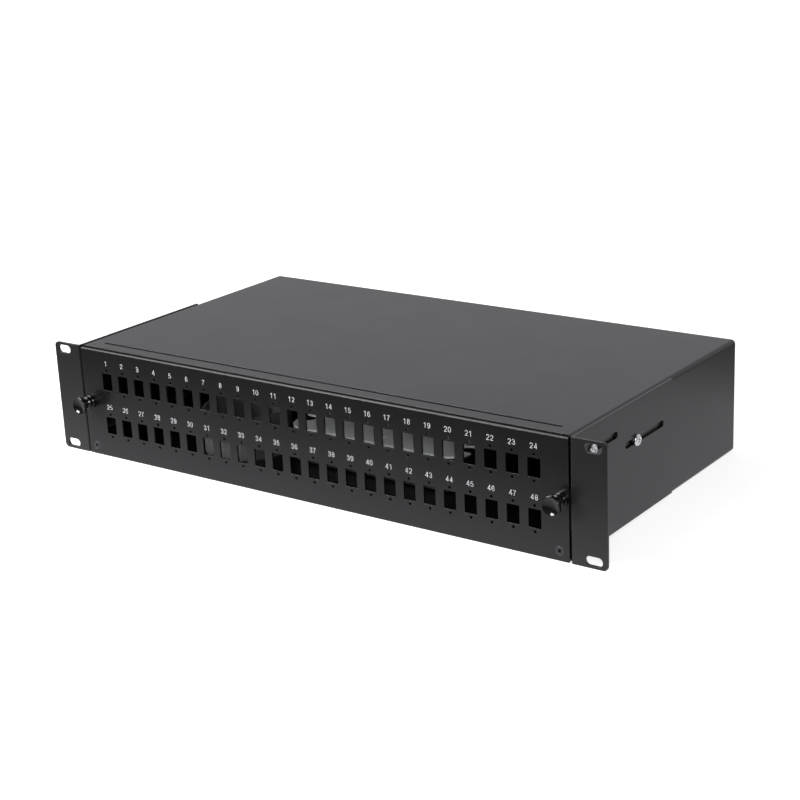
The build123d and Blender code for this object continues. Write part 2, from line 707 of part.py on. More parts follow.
def latch_plunger(x):
    """Plunger with a stepped neck and a head with a dished face, pushed in to lock the drawer."""
    shank = PLUNGER_SHANK / 2
    neck = PLUNGER_NECK / 2
    head = PLUNGER_HEAD / 2
    waist = neck - 2 * PLUNGER_GROOVE
    seat = GROMMET_COLLAR_RISE + LATCH_CLEARANCE
    neck_top = seat + PLUNGER_NECK_RISE
    rim_top = neck_top + PLUNGER_RIM
    dish_edge = (head - PLUNGER_LIP, rim_top)
    dish_bottom = (0, rim_top - PLUNGER_DISH)
    tip = -GROMMET_LENGTH - PLUNGER_TIP
    with BuildPart() as plunger:
        with BuildSketch(Plane.XZ):
            with BuildLine():
                Polyline(
                    dish_bottom,
                    (0, tip),
                    (shank - PLUNGER_TIP, tip),
                    (shank, tip + PLUNGER_TIP),
                    (shank, seat),
                    (neck, seat),
                    (neck, seat + PLUNGER_NECK_RISE / 3),
                    (waist, seat + PLUNGER_NECK_RISE / 2),
                    (waist, neck_top - 2 * PLUNGER_GROOVE),
                    (neck, neck_top - PLUNGER_GROOVE),
                    (neck, neck_top),
                    (head - 2 * PLUNGER_GROOVE, neck_top),
                    (head, neck_top + 2 * PLUNGER_GROOVE),
                    (head, rim_top - PLUNGER_LIP / 2),
                    (head - PLUNGER_LIP / 2, rim_top),
                    dish_edge,
                )
                TangentArc(dish_bottom, dish_edge, tangent=(1, 0))
            make_face()
        revolve(axis=Axis.Z)
    return set_out(plunger.part, [screw_from_front(x, LATCH_HEIGHT)])


def splice_tray(level):
    """Moulded tray with two fibre hubs, entry gaps at its corners and small feet."""
    with BuildPart() as tray:
        with BuildSketch(Plane.XY.offset(level)):
            with Locations(splice_centre):
                RectangleRounded(SPLICE_LENGTH, SPLICE_WIDTH, SPLICE_CORNER)
        extrude(amount=SPLICE_HEIGHT)
        offset(amount=-SPLICE_WALL, openings=tray.faces().sort_by(Axis.Z)[-1])
        floor = level + SPLICE_WALL
        with BuildSketch(Plane.XY.offset(floor)):
            with Locations(*stud_places):
                Circle(SPLICE_HUB / 2)
                Circle(SPLICE_HUB / 2 - SPLICE_WALL, mode=Mode.SUBTRACT)
                Circle(stud_hole + SPLICE_WALL)
        extrude(amount=SPLICE_HEIGHT - 2 * SPLICE_WALL)
        with BuildSketch(Plane.XY.offset(level)):
            with Locations(*stud_places):
                Circle(stud_hole)
        extrude(amount=SPLICE_HEIGHT, mode=Mode.SUBTRACT)
        with BuildSketch(Plane.XY.offset(floor)):
            with Locations(splice_centre):
                with GridLocations(SPLICE_LENGTH - SPLICE_WALL, entry_spread, 2, 2):
                    Rectangle(2 * SPLICE_WALL, FIBRE_ENTRY)
        extrude(amount=SPLICE_HEIGHT, mode=Mode.SUBTRACT)
    return tray.part


def tray_spacers():
    """Rings on the studs that hold the lower tray off the pan."""
    ring = turned([
        (stud_hole, 0),
        (STUD_RING / 2, 0),
        (STUD_RING / 2, SPLICE_FEET),
        (stud_hole, SPLICE_FEET),
    ])
    return set_out(ring, [(x, y, pan_floor) for x, y in stud_places])


def splice_comb(level):
    """Holder for the splice sleeves: a row of grooves across a block on the tray's floor."""
    base = level + SPLICE_WALL
    with BuildPart() as comb:
        with BuildSketch(Plane.XY.offset(base)):
            with Locations(*comb_places):
                Rectangle(comb_length, COMB_WIDTH)
        extrude(amount=COMB_HEIGHT)
        with BuildSketch(Plane.XY.offset(base + COMB_FLOOR)):
            with Locations(*comb_places):
                with GridLocations(0, COMB_WIDTH / COMB_SLOTS, 1, COMB_SLOTS):
                    Rectangle(comb_length, COMB_SLOT_WIDTH)
        extrude(amount=COMB_HEIGHT, mode=Mode.SUBTRACT)
    return comb.part


def splice_lid():
    """Flat cover of the upper tray, with latch windows and notches over the fibre entries."""
    with BuildPart() as lid:
        with BuildSketch(Plane.XY.offset(lid_bottom)):
            with Locations(splice_centre):
                RectangleRounded(SPLICE_LENGTH, SPLICE_WIDTH, SPLICE_CORNER)
                with GridLocations(0, SPLICE_WIDTH - 2 * LID_LATCH_INSET, 1, 2):
                    Rectangle(LID_LATCH_LENGTH, LID_LATCH_WIDTH, mode=Mode.SUBTRACT)
                with GridLocations(SPLICE_LENGTH, entry_spread, 2, 2):
                    SlotOverall(2 * FIBRE_ENTRY, FIBRE_ENTRY, mode=Mode.SUBTRACT)
            with Locations(*stud_places):
                Circle(stud_hole, mode=Mode.SUBTRACT)
        extrude(amount=LID_SHEET)
    return lid.part


def tray_studs():
    """Two studs on the pan that carry the trays."""
    top = lid_top + STUD_NUT_RISE + STUD_TOP_SPARE
    stud = turned([
        (0, 0),
        (STUD_SIZE / 2, 0),
        (STUD_SIZE / 2, top - pan_floor - STUD_SIZE / 8),
        (STUD_SIZE / 2 - STUD_SIZE / 8, top - pan_floor),
        (0, top - pan_floor),
    ])
    return set_out(stud, [(x, y, pan_floor) for x, y in stud_places])


def tray_nuts():
    """Round finger nuts that hold the stack of trays down."""
    bevel = STUD_NUT_RISE / 6
    nut = turned([
        (STUD_SIZE / 2 + THREAD_CLEARANCE, 0),
        (STUD_NUT_SIZE / 2 - bevel, 0),
        (STUD_NUT_SIZE / 2, bevel),
        (STUD_NUT_SIZE / 2, STUD_NUT_RISE - bevel),
        (STUD_NUT_SIZE / 2 - bevel, STUD_NUT_RISE),
        (STUD_SIZE / 2 + THREAD_CLEARANCE, STUD_NUT_RISE),
    ])
    return set_out(nut, [(x, y, lid_top) for x, y in stud_places])


def fibre_drum():
    """Open ring that spare fibre is wound on, with a foot inside and tabs at its rim."""
    with BuildPart() as drum:
        with BuildSketch(Plane.XY.offset(pan_floor)):
            with Locations(drum_centre):
                Circle(drum_radius)
                Circle(drum_foot_hole, mode=Mode.SUBTRACT)
                with PolarLocations(drum_screw_circle, DRUM_TAB_COUNT):
                    Circle(screw_hole, mode=Mode.SUBTRACT)
        extrude(amount=DRUM_FOOT)
        with BuildSketch(Plane.XY.offset(pan_floor + DRUM_FOOT)):
            with Locations(drum_centre):
                Circle(drum_radius)
                Circle(drum_radius - DRUM_WALL, mode=Mode.SUBTRACT)
        extrude(amount=DRUM_HEIGHT - DRUM_FOOT)
        tab_middle = drum_radius + (DRUM_TAB_LENGTH - DRUM_WALL) / 2
        with BuildSketch(Plane.XY.offset(drum_top - DRUM_TAB_SHEET)):
            with Locations(drum_centre):
                with PolarLocations(tab_middle, DRUM_TAB_COUNT, start_angle=DRUM_TAB_ANGLE):
                    Rectangle(DRUM_TAB_LENGTH + DRUM_WALL, DRUM_TAB_WIDTH)
                Circle(drum_radius - DRUM_WALL, mode=Mode.SUBTRACT)
        extrude(amount=DRUM_TAB_SHEET)
        tab_corners = drum.edges().filter_by(Axis.Z).sort_by(
            lambda edge: -Vector(edge.center().X - drum_centre[0], edge.center().Y - drum_centre[1]).length
        )[: 2 * DRUM_TAB_COUNT]
        fillet(tab_corners, radius=DRUM_TAB_CORNER)
    return drum.part


def drum_screws():
    """Screws that hold the foot of the drum to the pan."""
    screw = pan_head_screw(SMALL_SCREW_SIZE, SMALL_SCREW_HEAD, SMALL_SCREW_HEAD_RISE, DRUM_FOOT)
    with BuildPart() as screws:
        with Locations((drum_centre[0], drum_centre[1], pan_floor + DRUM_FOOT)):
            with PolarLocations(drum_screw_circle, DRUM_TAB_COUNT):
                add(screw)
    return screws.part


def gland_body(x):
    """Hexagonal flange with a threaded tube on both sides of the rear panel."""
    with BuildPart() as body:
        with BuildSketch(gland_axis(x, rear_panel_back)):
            RegularPolygon(gland_hex, 6, major_radius=False)
        extrude(amount=GLAND_FLANGE)
        with BuildSketch(gland_axis(x, rear_panel_back - GLAND_INNER_LENGTH)):
            Circle(GLAND_THREAD / 2)
        extrude(amount=GLAND_INNER_LENGTH)
        with BuildSketch(gland_axis(x, gland_mouth)):
            Circle(gland_outer)
        extrude(amount=GLAND_OUTER_LENGTH)
        with BuildSketch(gland_axis(x, rear_panel_back - GLAND_INNER_LENGTH)):
            Circle(gland_bore)
        extrude(amount=GLAND_INNER_LENGTH + GLAND_FLANGE + GLAND_OUTER_LENGTH, mode=Mode.SUBTRACT)
    return body.part


def gland_nut(x):
    """Dome nut that presses the seal on the cable."""
    with BuildPart() as nut:
        with BuildSketch(gland_axis(x, gland_nut_front)):
            RegularPolygon(gland_hex, 6, major_radius=False)
        extrude(amount=GLAND_HEX_LENGTH)
        with BuildSketch(gland_axis(x, gland_nut_front + GLAND_HEX_LENGTH)):
            Circle(gland_hex)
        extrude(amount=gland_nut_length - GLAND_HEX_LENGTH)
        fillet(nut.edges().sort_by(Axis.Y)[-1], radius=GLAND_DOME)
        with BuildSketch(gland_axis(x, gland_nut_front)):
            Circle(gland_outer + HOLE_CLEARANCE / 2)
        extrude(amount=gland_nut_length - GLAND_LIP, mode=Mode.SUBTRACT)
        with BuildSketch(gland_axis(x, gland_nut_front)):
            Circle(GLAND_SEAL_BORE / 2 + GLAND_MOUTH_STEP)
        extrude(amount=gland_nut_length, mode=Mode.SUBTRACT)
    return nut.part


def gland_seal(x):
    """Rubber ring that grips the cable between the body and the dome nut."""
    seal = turned([
        (GLAND_SEAL_BORE / 2, 0),
        (gland_outer, 0),
        (gland_outer, GLAND_SEAL_LENGTH),
        (GLAND_SEAL_BORE / 2, GLAND_SEAL_LENGTH),
    ])
    return set_out(seal, [gland_axis(x, seal_front)])


def gland_locknut(x):
    """Thin hexagonal nut on the inside of the rear panel."""
    with BuildPart() as nut:
        with BuildSketch(gland_axis(x, rear_panel_front - LOCKNUT_DEPTH)):
            RegularPolygon(gland_hex, 6, major_radius=False)
            Circle(GLAND_THREAD / 2 + THREAD_CLEARANCE, mode=Mode.SUBTRACT)
        extrude(amount=LOCKNUT_DEPTH)
    return nut.part


def blank_plug(x):
    """Cap that closes a cable hole which is not in use."""
    radius = GLAND_THREAD / 2
    head = radius + PLUG_LIP
    plug = turned([
        (0, PLUG_HEAD_RISE),
        (0, 0),
        (radius - PLUG_WALL, 0),
        (radius - PLUG_WALL, -PLUG_BARREL_LENGTH),
        (radius - PLUG_WALL / 2, -PLUG_BARREL_LENGTH),
        (radius, -PLUG_BARREL_LENGTH + PLUG_WALL),
        (radius, 0),
        (head, 0),
        (head, PLUG_HEAD_RISE - PLUG_EDGE),
        (head - PLUG_EDGE, PLUG_HEAD_RISE),
    ])
    return set_out(plug, [gland_axis(x, rear_panel_back)])


def ear_screws():
    """Clamp screws of both ears, with their heads on the legs."""
    length = EAR_SHEET + CASE_SHEET + EAR_NUT_DEPTH
    screw = pan_head_screw(EAR_SCREW_SIZE, EAR_SCREW_HEAD, EAR_SCREW_HEAD_RISE, length)
    return set_out(screw, ear_screw_planes(wall_x + EAR_SHEET))


def ear_nuts():
    """Clinch nuts on the inside of the case for the clamp screws."""
    bore = EAR_SCREW_SIZE / 2 + THREAD_CLEARANCE
    rim = EAR_NUT_SIZE / 2
    nut = turned([(bore, -EAR_NUT_DEPTH), (rim, -EAR_NUT_DEPTH), (rim, 0), (bore, 0)])
    return set_out(nut, ear_screw_planes(inner_x))


def panel_nuts():
    """Nuts behind the ears of the pan for the panel screws."""
    with BuildPart() as nuts:
        with BuildSketch(front_plane(panel_back + PAN_SHEET)):
            with Locations(*panel_screw_points):
                RegularPolygon(PANEL_NUT_SIZE / 2, 6, major_radius=False)
                Circle(PANEL_SCREW_SIZE / 2 + THREAD_CLEARANCE, mode=Mode.SUBTRACT)
        extrude(amount=-PANEL_NUT_DEPTH)
    return nuts.part


os.makedirs("parts", exist_ok=True)

outer_slide, inner_slide = slide_members()
pairs = {
    "rack_ear": rack_ear(),
    "slide_outer": outer_slide,
    "slide_inner": inner_slide,
    "ball_cage": ball_cage(),
    "slide_balls": slide_balls(),
}
for name, right in pairs.items():
    save(right, f"{name}_right")
    save(mirrored(right), f"{name}_left")

for side_name, sign in (("left", -1), ("right", 1)):
    save(latch_grommet(sign * latch_x), f"latch_grommet_{side_name}")
    save(latch_plunger(sign * latch_x), f"latch_plunger_{side_name}")
    gland_x = sign * GLAND_OFFSETS[0]
    save(gland_body(gland_x), f"gland_body_{side_name}")
    save(gland_nut(gland_x), f"gland_nut_{side_name}")
    save(gland_seal(gland_x), f"gland_seal_{side_name}")
    save(gland_locknut(gland_x), f"gland_locknut_{side_name}")
    save(blank_plug(sign * GLAND_OFFSETS[1]), f"blank_plug_{side_name}")

for level_name, level in zip(("lower", "upper"), splice_levels):
    save(splice_tray(level), f"splice_tray_{level_name}")
    save(splice_comb(level), f"splice_comb_{level_name}")

base_screw = flush_screw(SMALL_SCREW_SIZE, CASE_SHEET, CASE_SHEET + BASE_SHEET)
rear_grip = CASE_SHEET + REAR_SHEET + SCREW_SPARE
rear_screw = pan_head_screw(SMALL_SCREW_SIZE, SMALL_SCREW_HEAD, SMALL_SCREW_HEAD_RISE, rear_grip)
panel_grip = PANEL_SHEET + PAN_SHEET + PANEL_NUT_DEPTH + SCREW_SPARE
panel_screw = flush_screw(PANEL_SCREW_SIZE, PANEL_SHEET, panel_grip)
single_pieces = {
    "case_wrap": case_wrap(),
    "base_plate": base_plate(),
    "rear_panel": rear_panel(),
    "front_panel": front_panel(),
    "drawer_pan": drawer_pan(),
    "splice_lid": splice_lid(),
    "tray_studs": tray_studs(),
    "tray_spacers": tray_spacers(),
    "tray_nuts": tray_nuts(),
    "fibre_drum": fibre_drum(),
    "drum_screws": drum_screws(),
    "ear_screws": ear_screws(),
    "ear_nuts": ear_nuts(),
    "base_screws": set_out(base_screw, [screw_from_below(x, y) for x, y in base_screw_points]),
    "rear_screws": set_out(rear_screw, [screw_from_back(x, z) for x, z in rear_screw_points]),
    "panel_screws": set_out(panel_screw, [screw_from_front(x, z) for x, z in panel_screw_points]),
    "panel_nuts": panel_nuts(),
}
for name, piece in single_pieces.items():
    save(piece, name)
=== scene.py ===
"""Looks of the sliding fibre patch panel: softened sheets, printed numbers, latches, screws and finishes."""

import json
from math import radians, tau

import bmesh
import bpy
from bpy.props import FloatProperty, FloatVectorProperty, IntProperty, PointerProperty
from bpy.types import Operator, Panel, PropertyGroup
from mathutils import Matrix, Vector

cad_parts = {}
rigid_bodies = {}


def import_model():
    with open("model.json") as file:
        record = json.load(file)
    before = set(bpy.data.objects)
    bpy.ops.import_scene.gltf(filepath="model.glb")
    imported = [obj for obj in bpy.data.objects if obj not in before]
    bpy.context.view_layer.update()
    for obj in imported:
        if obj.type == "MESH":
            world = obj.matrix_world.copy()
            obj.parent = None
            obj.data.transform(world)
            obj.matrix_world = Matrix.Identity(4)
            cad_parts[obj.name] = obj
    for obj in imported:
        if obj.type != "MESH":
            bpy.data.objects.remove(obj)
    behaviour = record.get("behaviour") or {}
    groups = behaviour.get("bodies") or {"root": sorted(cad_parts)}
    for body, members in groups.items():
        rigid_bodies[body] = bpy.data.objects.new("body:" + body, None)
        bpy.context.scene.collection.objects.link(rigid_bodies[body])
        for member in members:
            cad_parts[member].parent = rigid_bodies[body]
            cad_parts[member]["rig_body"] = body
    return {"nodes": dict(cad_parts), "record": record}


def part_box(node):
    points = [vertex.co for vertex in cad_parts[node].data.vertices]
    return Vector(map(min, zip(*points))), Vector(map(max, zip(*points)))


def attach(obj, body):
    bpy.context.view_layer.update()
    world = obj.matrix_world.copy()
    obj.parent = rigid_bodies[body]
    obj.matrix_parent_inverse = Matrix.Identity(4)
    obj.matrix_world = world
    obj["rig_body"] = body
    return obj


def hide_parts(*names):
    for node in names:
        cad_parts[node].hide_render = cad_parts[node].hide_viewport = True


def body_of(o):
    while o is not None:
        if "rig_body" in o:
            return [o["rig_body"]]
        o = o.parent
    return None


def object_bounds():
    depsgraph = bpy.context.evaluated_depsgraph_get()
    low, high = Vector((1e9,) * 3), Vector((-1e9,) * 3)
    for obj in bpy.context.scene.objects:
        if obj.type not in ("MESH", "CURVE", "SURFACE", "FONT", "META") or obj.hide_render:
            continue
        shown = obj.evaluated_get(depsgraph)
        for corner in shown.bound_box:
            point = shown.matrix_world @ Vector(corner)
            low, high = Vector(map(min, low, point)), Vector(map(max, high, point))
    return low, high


bl_info = {
    "name": "Fibre Patch Panel",
    "version": (1, 0, 0),
    "blender": (4, 5, 0),
    "location": "View3D > Sidebar > Patch Panel",
    "description": "Dresses the sliding fibre patch panel and sets up its studio",
    "category": "Object",
}

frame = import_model()
cad_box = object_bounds()
mounts = {mount["name"]: mount for mount in frame["record"]["mounts"]}
first_port = Vector(mounts["adapter_port_1"]["pos_m"])
last_port = Vector(mounts["adapter_port_48"]["pos_m"])
PORT_COLUMNS = 24
WHITE = (1.0, 1.0, 1.0, 1.0)

# Angles, in degrees: edges that get rounded, edges that stay crisp in shading, faces that count as one flat
SHARP_ANGLE = 32.0
CRISP_ANGLE = 50.0
FLAT_ANGLE = 0.5

# Distances within which corners are joined, in metres: loose triangles, spun shapes, ends of strokes and cuts
MERGE_REACH = 0.000004
SPUN_REACH = 0.000002
FINE_REACH = 0.000001

# Sheet under the ear screws and height of a rear screw's head, in metres
EAR_SHEET = 0.002
REAR_RISE = 0.0018

# Threads and the depth of a countersunk head, in diameters of a head, and how far a recess narrows
EAR_THREAD = 0.476
REAR_THREAD = 0.54
FLUSH_THREAD = 0.47
FLUSH_DEPTH = 0.27
RECESS_TAPER = 0.55

# Studio: lamps with their place and size, the floor, and the camera
LAMPS = {
    "key": ((-1.15, -1.6, 0.7), 0.75),
    "top": ((-0.8, -0.5, 1.05), 1.0),
    "fill": ((1.08, -1.3, 0.6), 0.6),
}
FLOOR_REACH = 9.0
FLOOR_SHIFT = 3.0
CAMERA_PLACE = (0.73204, -0.88038, 0.40658)
CAMERA_RIGHT = (0.813085, 0.580584, -0.042608)
CAMERA_UP = (-0.149325, 0.278745, 0.948685)

# Painted reflection: the floor as glossy faces mirror it is a set glow, not the lit floor. These are its
# tones by depth in metres, dark in front and far behind, and the stretch of depth that they cover
PAINTED_MIRROR_TONES = ((-0.2, 0.04), (-0.1, 0.48), (-0.01, 0.96), (0.08, 0.7), (0.34, 0.7), (0.45, 0.22))
PAINTED_MIRROR_START = -0.25
PAINTED_MIRROR_SPAN = 0.8
PAINTED_MIRROR_STRENGTH = 1.14

# Strokes of the printed digits, in heights of a digit; nine is a six turned half round
STROKE_STEPS = 5
DIGIT_MIDDLE = 0.28
SIX = (
    (
        "bow", (0.48, 0.75), (0.42, 0.89), (0.29, 0.94), (0.13, 0.82), (0.06, 0.47),
        (0.11, 0.17), (0.28, 0.06),
    ),
    ("ring", (0.28, 0.58), (0.07, 0.32), (0.28, 0.06), (0.5, 0.32)),
)
DIGITS = {
    "0": (("ring", (0.28, 0.94), (0.06, 0.5), (0.28, 0.06), (0.5, 0.5)),),
    "1": (("bar", (0.33, 0.0), (0.33, 1.0)), ("bow", (0.09, 0.74), (0.22, 0.81), (0.31, 0.95))),
    "2": (
        (
            "bow", (0.07, 0.68), (0.12, 0.87), (0.28, 0.94), (0.44, 0.87), (0.49, 0.7),
            (0.41, 0.48), (0.2, 0.26), (0.08, 0.07),
        ),
        ("bar", (0.02, 0.06), (0.53, 0.06)),
    ),
    "3": (
        (
            "bow", (0.07, 0.72), (0.13, 0.88), (0.27, 0.94), (0.42, 0.88), (0.46, 0.74),
            (0.4, 0.59), (0.22, 0.53),
        ),
        (
            "bow", (0.22, 0.53), (0.42, 0.47), (0.5, 0.29), (0.43, 0.12), (0.27, 0.06),
            (0.12, 0.12), (0.06, 0.27),
        ),
    ),
    "4": (
        ("bar", (0.4, 0.0), (0.4, 1.0)),
        ("bar", (0.4, 0.95), (0.06, 0.3)),
        ("bar", (0.0, 0.27), (0.55, 0.27)),
    ),
    "5": (
        ("bar", (0.13, 0.94), (0.48, 0.94)),
        ("bar", (0.16, 0.98), (0.1, 0.5)),
        (
            "bow", (0.09, 0.48), (0.27, 0.6), (0.44, 0.52), (0.5, 0.33), (0.43, 0.13),
            (0.26, 0.06), (0.12, 0.12), (0.06, 0.26),
        ),
    ),
    "6": SIX,
    "7": (
        ("bar", (0.03, 0.94), (0.53, 0.94)),
        ("bow", (0.5, 0.92), (0.33, 0.66), (0.22, 0.34), (0.18, 0.0)),
    ),
    "8": (
        ("ring", (0.28, 0.94), (0.09, 0.735), (0.28, 0.535), (0.47, 0.735)),
        ("ring", (0.28, 0.53), (0.06, 0.295), (0.28, 0.06), (0.5, 0.295)),
    ),
    "9": tuple((kind, *((2.0 * DIGIT_MIDDLE - x, 1.0 - y) for x, y in points)) for kind, *points in SIX),
}


class Tap:
    """A shader output that takes part in sums, each of which adds a Math node."""

    def __init__(self, finish, output):
        self.finish = finish
        self.output = output

    def sum(self, operation, first, second):
        """Output of a Math node on two values."""
        return self.finish.node("Math", {"operation": operation}, {0: first, 1: second})

    def __add__(self, other):
        return self.sum("ADD", self, other)

    def __radd__(self, other):
        return self.sum("ADD", other, self)

    def __sub__(self, other):
        return self.sum("SUBTRACT", self, other)

    def __rsub__(self, other):
        return self.sum("SUBTRACT", other, self)

    def __mul__(self, other):
        return self.sum("MULTIPLY", self, other)

    def __rmul__(self, other):
        return self.sum("MULTIPLY", other, self)

    def __truediv__(self, other):
        return self.sum("DIVIDE", self, other)

    def __rtruediv__(self, other):
        return self.sum("DIVIDE", other, self)


class Finish:
    """Node tree of one material or of the world."""

    def __init__(self, owner):
        self.owner = owner
        owner.use_nodes = True
        self.tree = owner.node_tree
        self.tree.nodes.clear()

    def node(self, kind, settings=None, sockets=None, output=None):
        """Adds a node, sets it up, feeds its sockets and gives back one of its outputs."""
        node = self.tree.nodes.new("ShaderNode" + kind)
        for name, value in (settings or {}).items():
            if name == "stops":
                for stop, (place, colour) in zip(self.ramp_stops(node, len(value)), value):
                    stop.position = place
                    stop.color = colour
            else:
                setattr(node, name, value)
        for name, value in (sockets or {}).items():
            socket = self.socket(node.inputs, name)
            if isinstance(value, Tap):
                self.tree.links.new(value.output, socket)
            else:
                socket.default_value = value
        if not node.outputs:
            return None
        return Tap(self, node.outputs[0] if output is None else self.socket(node.outputs, output))

    @staticmethod
    def ramp_stops(node, count):
        """Stops of a ramp, filled up to a count."""
        stops = node.color_ramp.elements
        while len(stops) < count:
            stops.new(1.0)
        return stops

    @staticmethod
    def socket(group, name):
        """Socket by its number, its identifier or its name."""
        if isinstance(name, int):
            return group[name]
        for socket in group:
            if socket.identifier == name:
                return socket
        return group[name]

    def noise(self, place, scale, detail, stretch=None):
        """Cloudy values from 0 to 1, a number of blotches to the metre."""
        if stretch:
            place = self.node("Mapping", {}, {"Vector": place, "Scale": stretch})
        return self.node("TexNoise", {}, {"Vector": place, "Scale": scale, "Detail": detail}, "Fac")

    def blend(self, factor, first, second):
        """Colour between two others."""
        return self.node(
            "Mix",
            {"data_type": "RGBA"},
            {"Factor_Float": factor, "A_Color": first, "B_Color": second},
            "Result_Color",
        )

    def relief(self, height, distance, strength):
        """Normal for a fine relief of a height from 0 to 1."""
        return self.node("Bump", {}, {"Height": height, "Distance": distance, "Strength": strength})

    def surface(self, **sockets):
        """Principled shader on the output, with its sockets named by their words."""
        named = {name.replace("_", " "): value for name, value in sockets.items()}
        shader = self.node("BsdfPrincipled", {}, named)
        self.node("OutputMaterial", {}, {"Surface": shader})
        return self.owner


def new_finish(name):
    """Empty node tree of a new material."""
    return Finish(bpy.data.materials.new(name))


def shade(colour, factor):
    """The same colour, lighter or darker."""
    return (colour[0] * factor, colour[1] * factor, colour[2] * factor, 1.0)


def powder_coat(name, colour, roughness, shine):
    """Satin baked powder with a fine orange peel and faint cloudy gloss."""
    coat = new_finish(name)
    place = coat.node("TexCoord", output="Object")
    peel = coat.noise(place, scale=1500.0, detail=1.0)
    cloud = coat.noise(place, scale=22.0, detail=3.0)
    speck = coat.noise(place, scale=420.0, detail=2.0)
    tone = coat.blend(cloud * 0.7 + speck * 0.3, shade(colour, 0.75), shade(colour, 1.3))
    return coat.surface(
        Base_Color=tone,
        Roughness=roughness - 0.04 + 0.06 * cloud + 0.03 * speck,
        Specular_IOR_Level=shine,
        Normal=coat.relief(peel * 0.8 + speck * 0.2, distance=0.00002, strength=0.22),
    )


def plated_steel(name, colour, roughness, streak):
    """Bright plated metal with faint streaks along one axis and a slight bloom."""
    plate = new_finish(name)
    place = plate.node("TexCoord", output="Object")
    streaks = plate.noise(place, scale=260.0, detail=3.0, stretch=streak)
    bloom = plate.noise(place, scale=70.0, detail=3.0)
    tone = plate.blend(bloom, shade(colour, 0.86), shade(colour, 1.08))
    return plate.surface(
        Base_Color=tone,
        Metallic=1.0,
        Roughness=roughness - 0.06 + 0.14 * streaks + 0.04 * bloom,
        Normal=plate.relief(streaks, distance=0.00002, strength=0.18),
    )


def moulded_plastic(name, colour, roughness, grain):
    """Moulded plastic with a fine grain, flow marks and a soft change of tone."""
    plastic = new_finish(name)
    place = plastic.node("TexCoord", output="Object")
    spark = plastic.noise(place, scale=1100.0, detail=2.0)
    flow = plastic.noise(place, scale=34.0, detail=3.0, stretch=(1.0, 0.5, 1.0))
    tone = plastic.blend(flow, shade(colour, 0.88), shade(colour, 1.1))
    return plastic.surface(
        Base_Color=tone,
        Roughness=roughness - 0.05 + 0.07 * flow + 0.04 * spark,
        Normal=plastic.relief(spark * 0.6 + flow * 0.4, distance=0.00003, strength=grain),
    )


def printing_ink(name, colour):
    """White screen print, slightly uneven where the ink lies thin on the coat."""
    ink = new_finish(name)
    place = ink.node("TexCoord", output="Object")
    thin = ink.noise(place, scale=1400.0, detail=2.0)
    tone = ink.blend(thin, shade(colour, 0.82), shade(colour, 1.1))
    return ink.surface(Base_Color=tone, Roughness=0.5 + 0.15 * thin)


def carried_by(node):
    """Name of the body that a node rides on."""
    return body_of(frame["nodes"][node])[0]


def coat_node(node, finish):
    """Gives a node that keeps its own shape a finish."""
    frame["nodes"][node].material_slots[0].material = finish


def merged_copy(node):
    """The node's mesh with its loose triangles joined up."""
    shape = bmesh.new()
    shape.from_mesh(frame["nodes"][node].data)
    bmesh.ops.remove_doubles(shape, verts=shape.verts, dist=MERGE_REACH)
    return shape


def whole_faces(node):
    """Merged copy of a node whose flat faces are whole."""
    shape = merged_copy(node)
    bmesh.ops.dissolve_limit(shape, angle_limit=radians(FLAT_ANGLE), verts=shape.verts, edges=shape.edges)
    return shape


def sharp_edges(shape, angle):
    """Edges where a shape turns by more than an angle."""
    return [edge for edge in shape.edges if edge.is_manifold and edge.calc_face_angle() > radians(angle)]


def round_off(shape, edges, width, segments, limited=False):
    """Rounds some edges of a shape, limited by its shortest edges where those would cross."""
    bmesh.ops.bevel(
        shape,
        geom=edges,
        offset=width,
        offset_type="OFFSET",
        segments=segments,
        profile=0.5,
        affect="EDGES",
        material=-1,
        clamp_overlap=limited,
    )


def softened(node, width, sharp=SHARP_ANGLE, segments=2, limited=False):
    """Merged copy of a node whose sharp edges are rounded."""
    shape = whole_faces(node)
    round_off(shape, sharp_edges(shape, sharp), width, segments, limited)
    return shape


def shave(shape, place, way):
    """Takes off what lies beyond a plane and closes the cut."""
    whole = [*shape.verts, *shape.edges, *shape.faces]
    cut = bmesh.ops.bisect_plane(
        shape, geom=whole, dist=FINE_REACH, plane_co=place, plane_no=way, clear_outer=True
    )
    rim = [item for item in cut["geom_cut"] if isinstance(item, bmesh.types.BMEdge)]
    bmesh.ops.edgeloop_fill(shape, edges=rim)
    bmesh.ops.recalc_face_normals(shape, faces=shape.faces)


def mesh_from(shape, name):
    """Mesh made from a bmesh, which is used up."""
    mesh = bpy.data.meshes.new(name)
    shape.to_mesh(mesh)
    shape.free()
    return mesh


def add_mesh(group, mesh, place):
    """Puts a mesh into a bmesh that holds several like it, and uses it up."""
    start = len(group.verts)
    group.from_mesh(mesh)
    bpy.data.meshes.remove(mesh)
    group.verts.ensure_lookup_table()
    bmesh.ops.transform(group, matrix=place, verts=group.verts[start:])


def piece_from(shape, name, body, slot, finish, *nodes):
    """Object made from a bmesh, riding on a body in place of its nodes."""
    mesh = mesh_from(shape, name)
    mesh.shade_smooth()
    mesh.set_sharp_from_angle(angle=radians(CRISP_ANGLE))
    mesh.materials.append(finish)
    piece = bpy.data.objects.new(name, mesh)
    bpy.context.scene.collection.objects.link(piece)
    even = piece.modifiers.new("even_shading", "WEIGHTED_NORMAL")
    even.keep_sharp = True
    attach(piece, body)
    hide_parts(*nodes)
    return piece


def solids_of(node):
    """Lowest and highest corner of each separate solid of a node."""
    shape = merged_copy(node)
    waiting = set(shape.verts)
    boxes = []
    while waiting:
        group = [waiting.pop()]
        for vert in group:
            for edge in vert.link_edges:
                other = edge.other_vert(vert)
                if other in waiting:
                    waiting.remove(other)
                    group.append(other)
        low = Vector(map(min, zip(*(vert.co for vert in group))))
        high = Vector(map(max, zip(*(vert.co for vert in group))))
        boxes.append((low, high))
    shape.free()
    return boxes


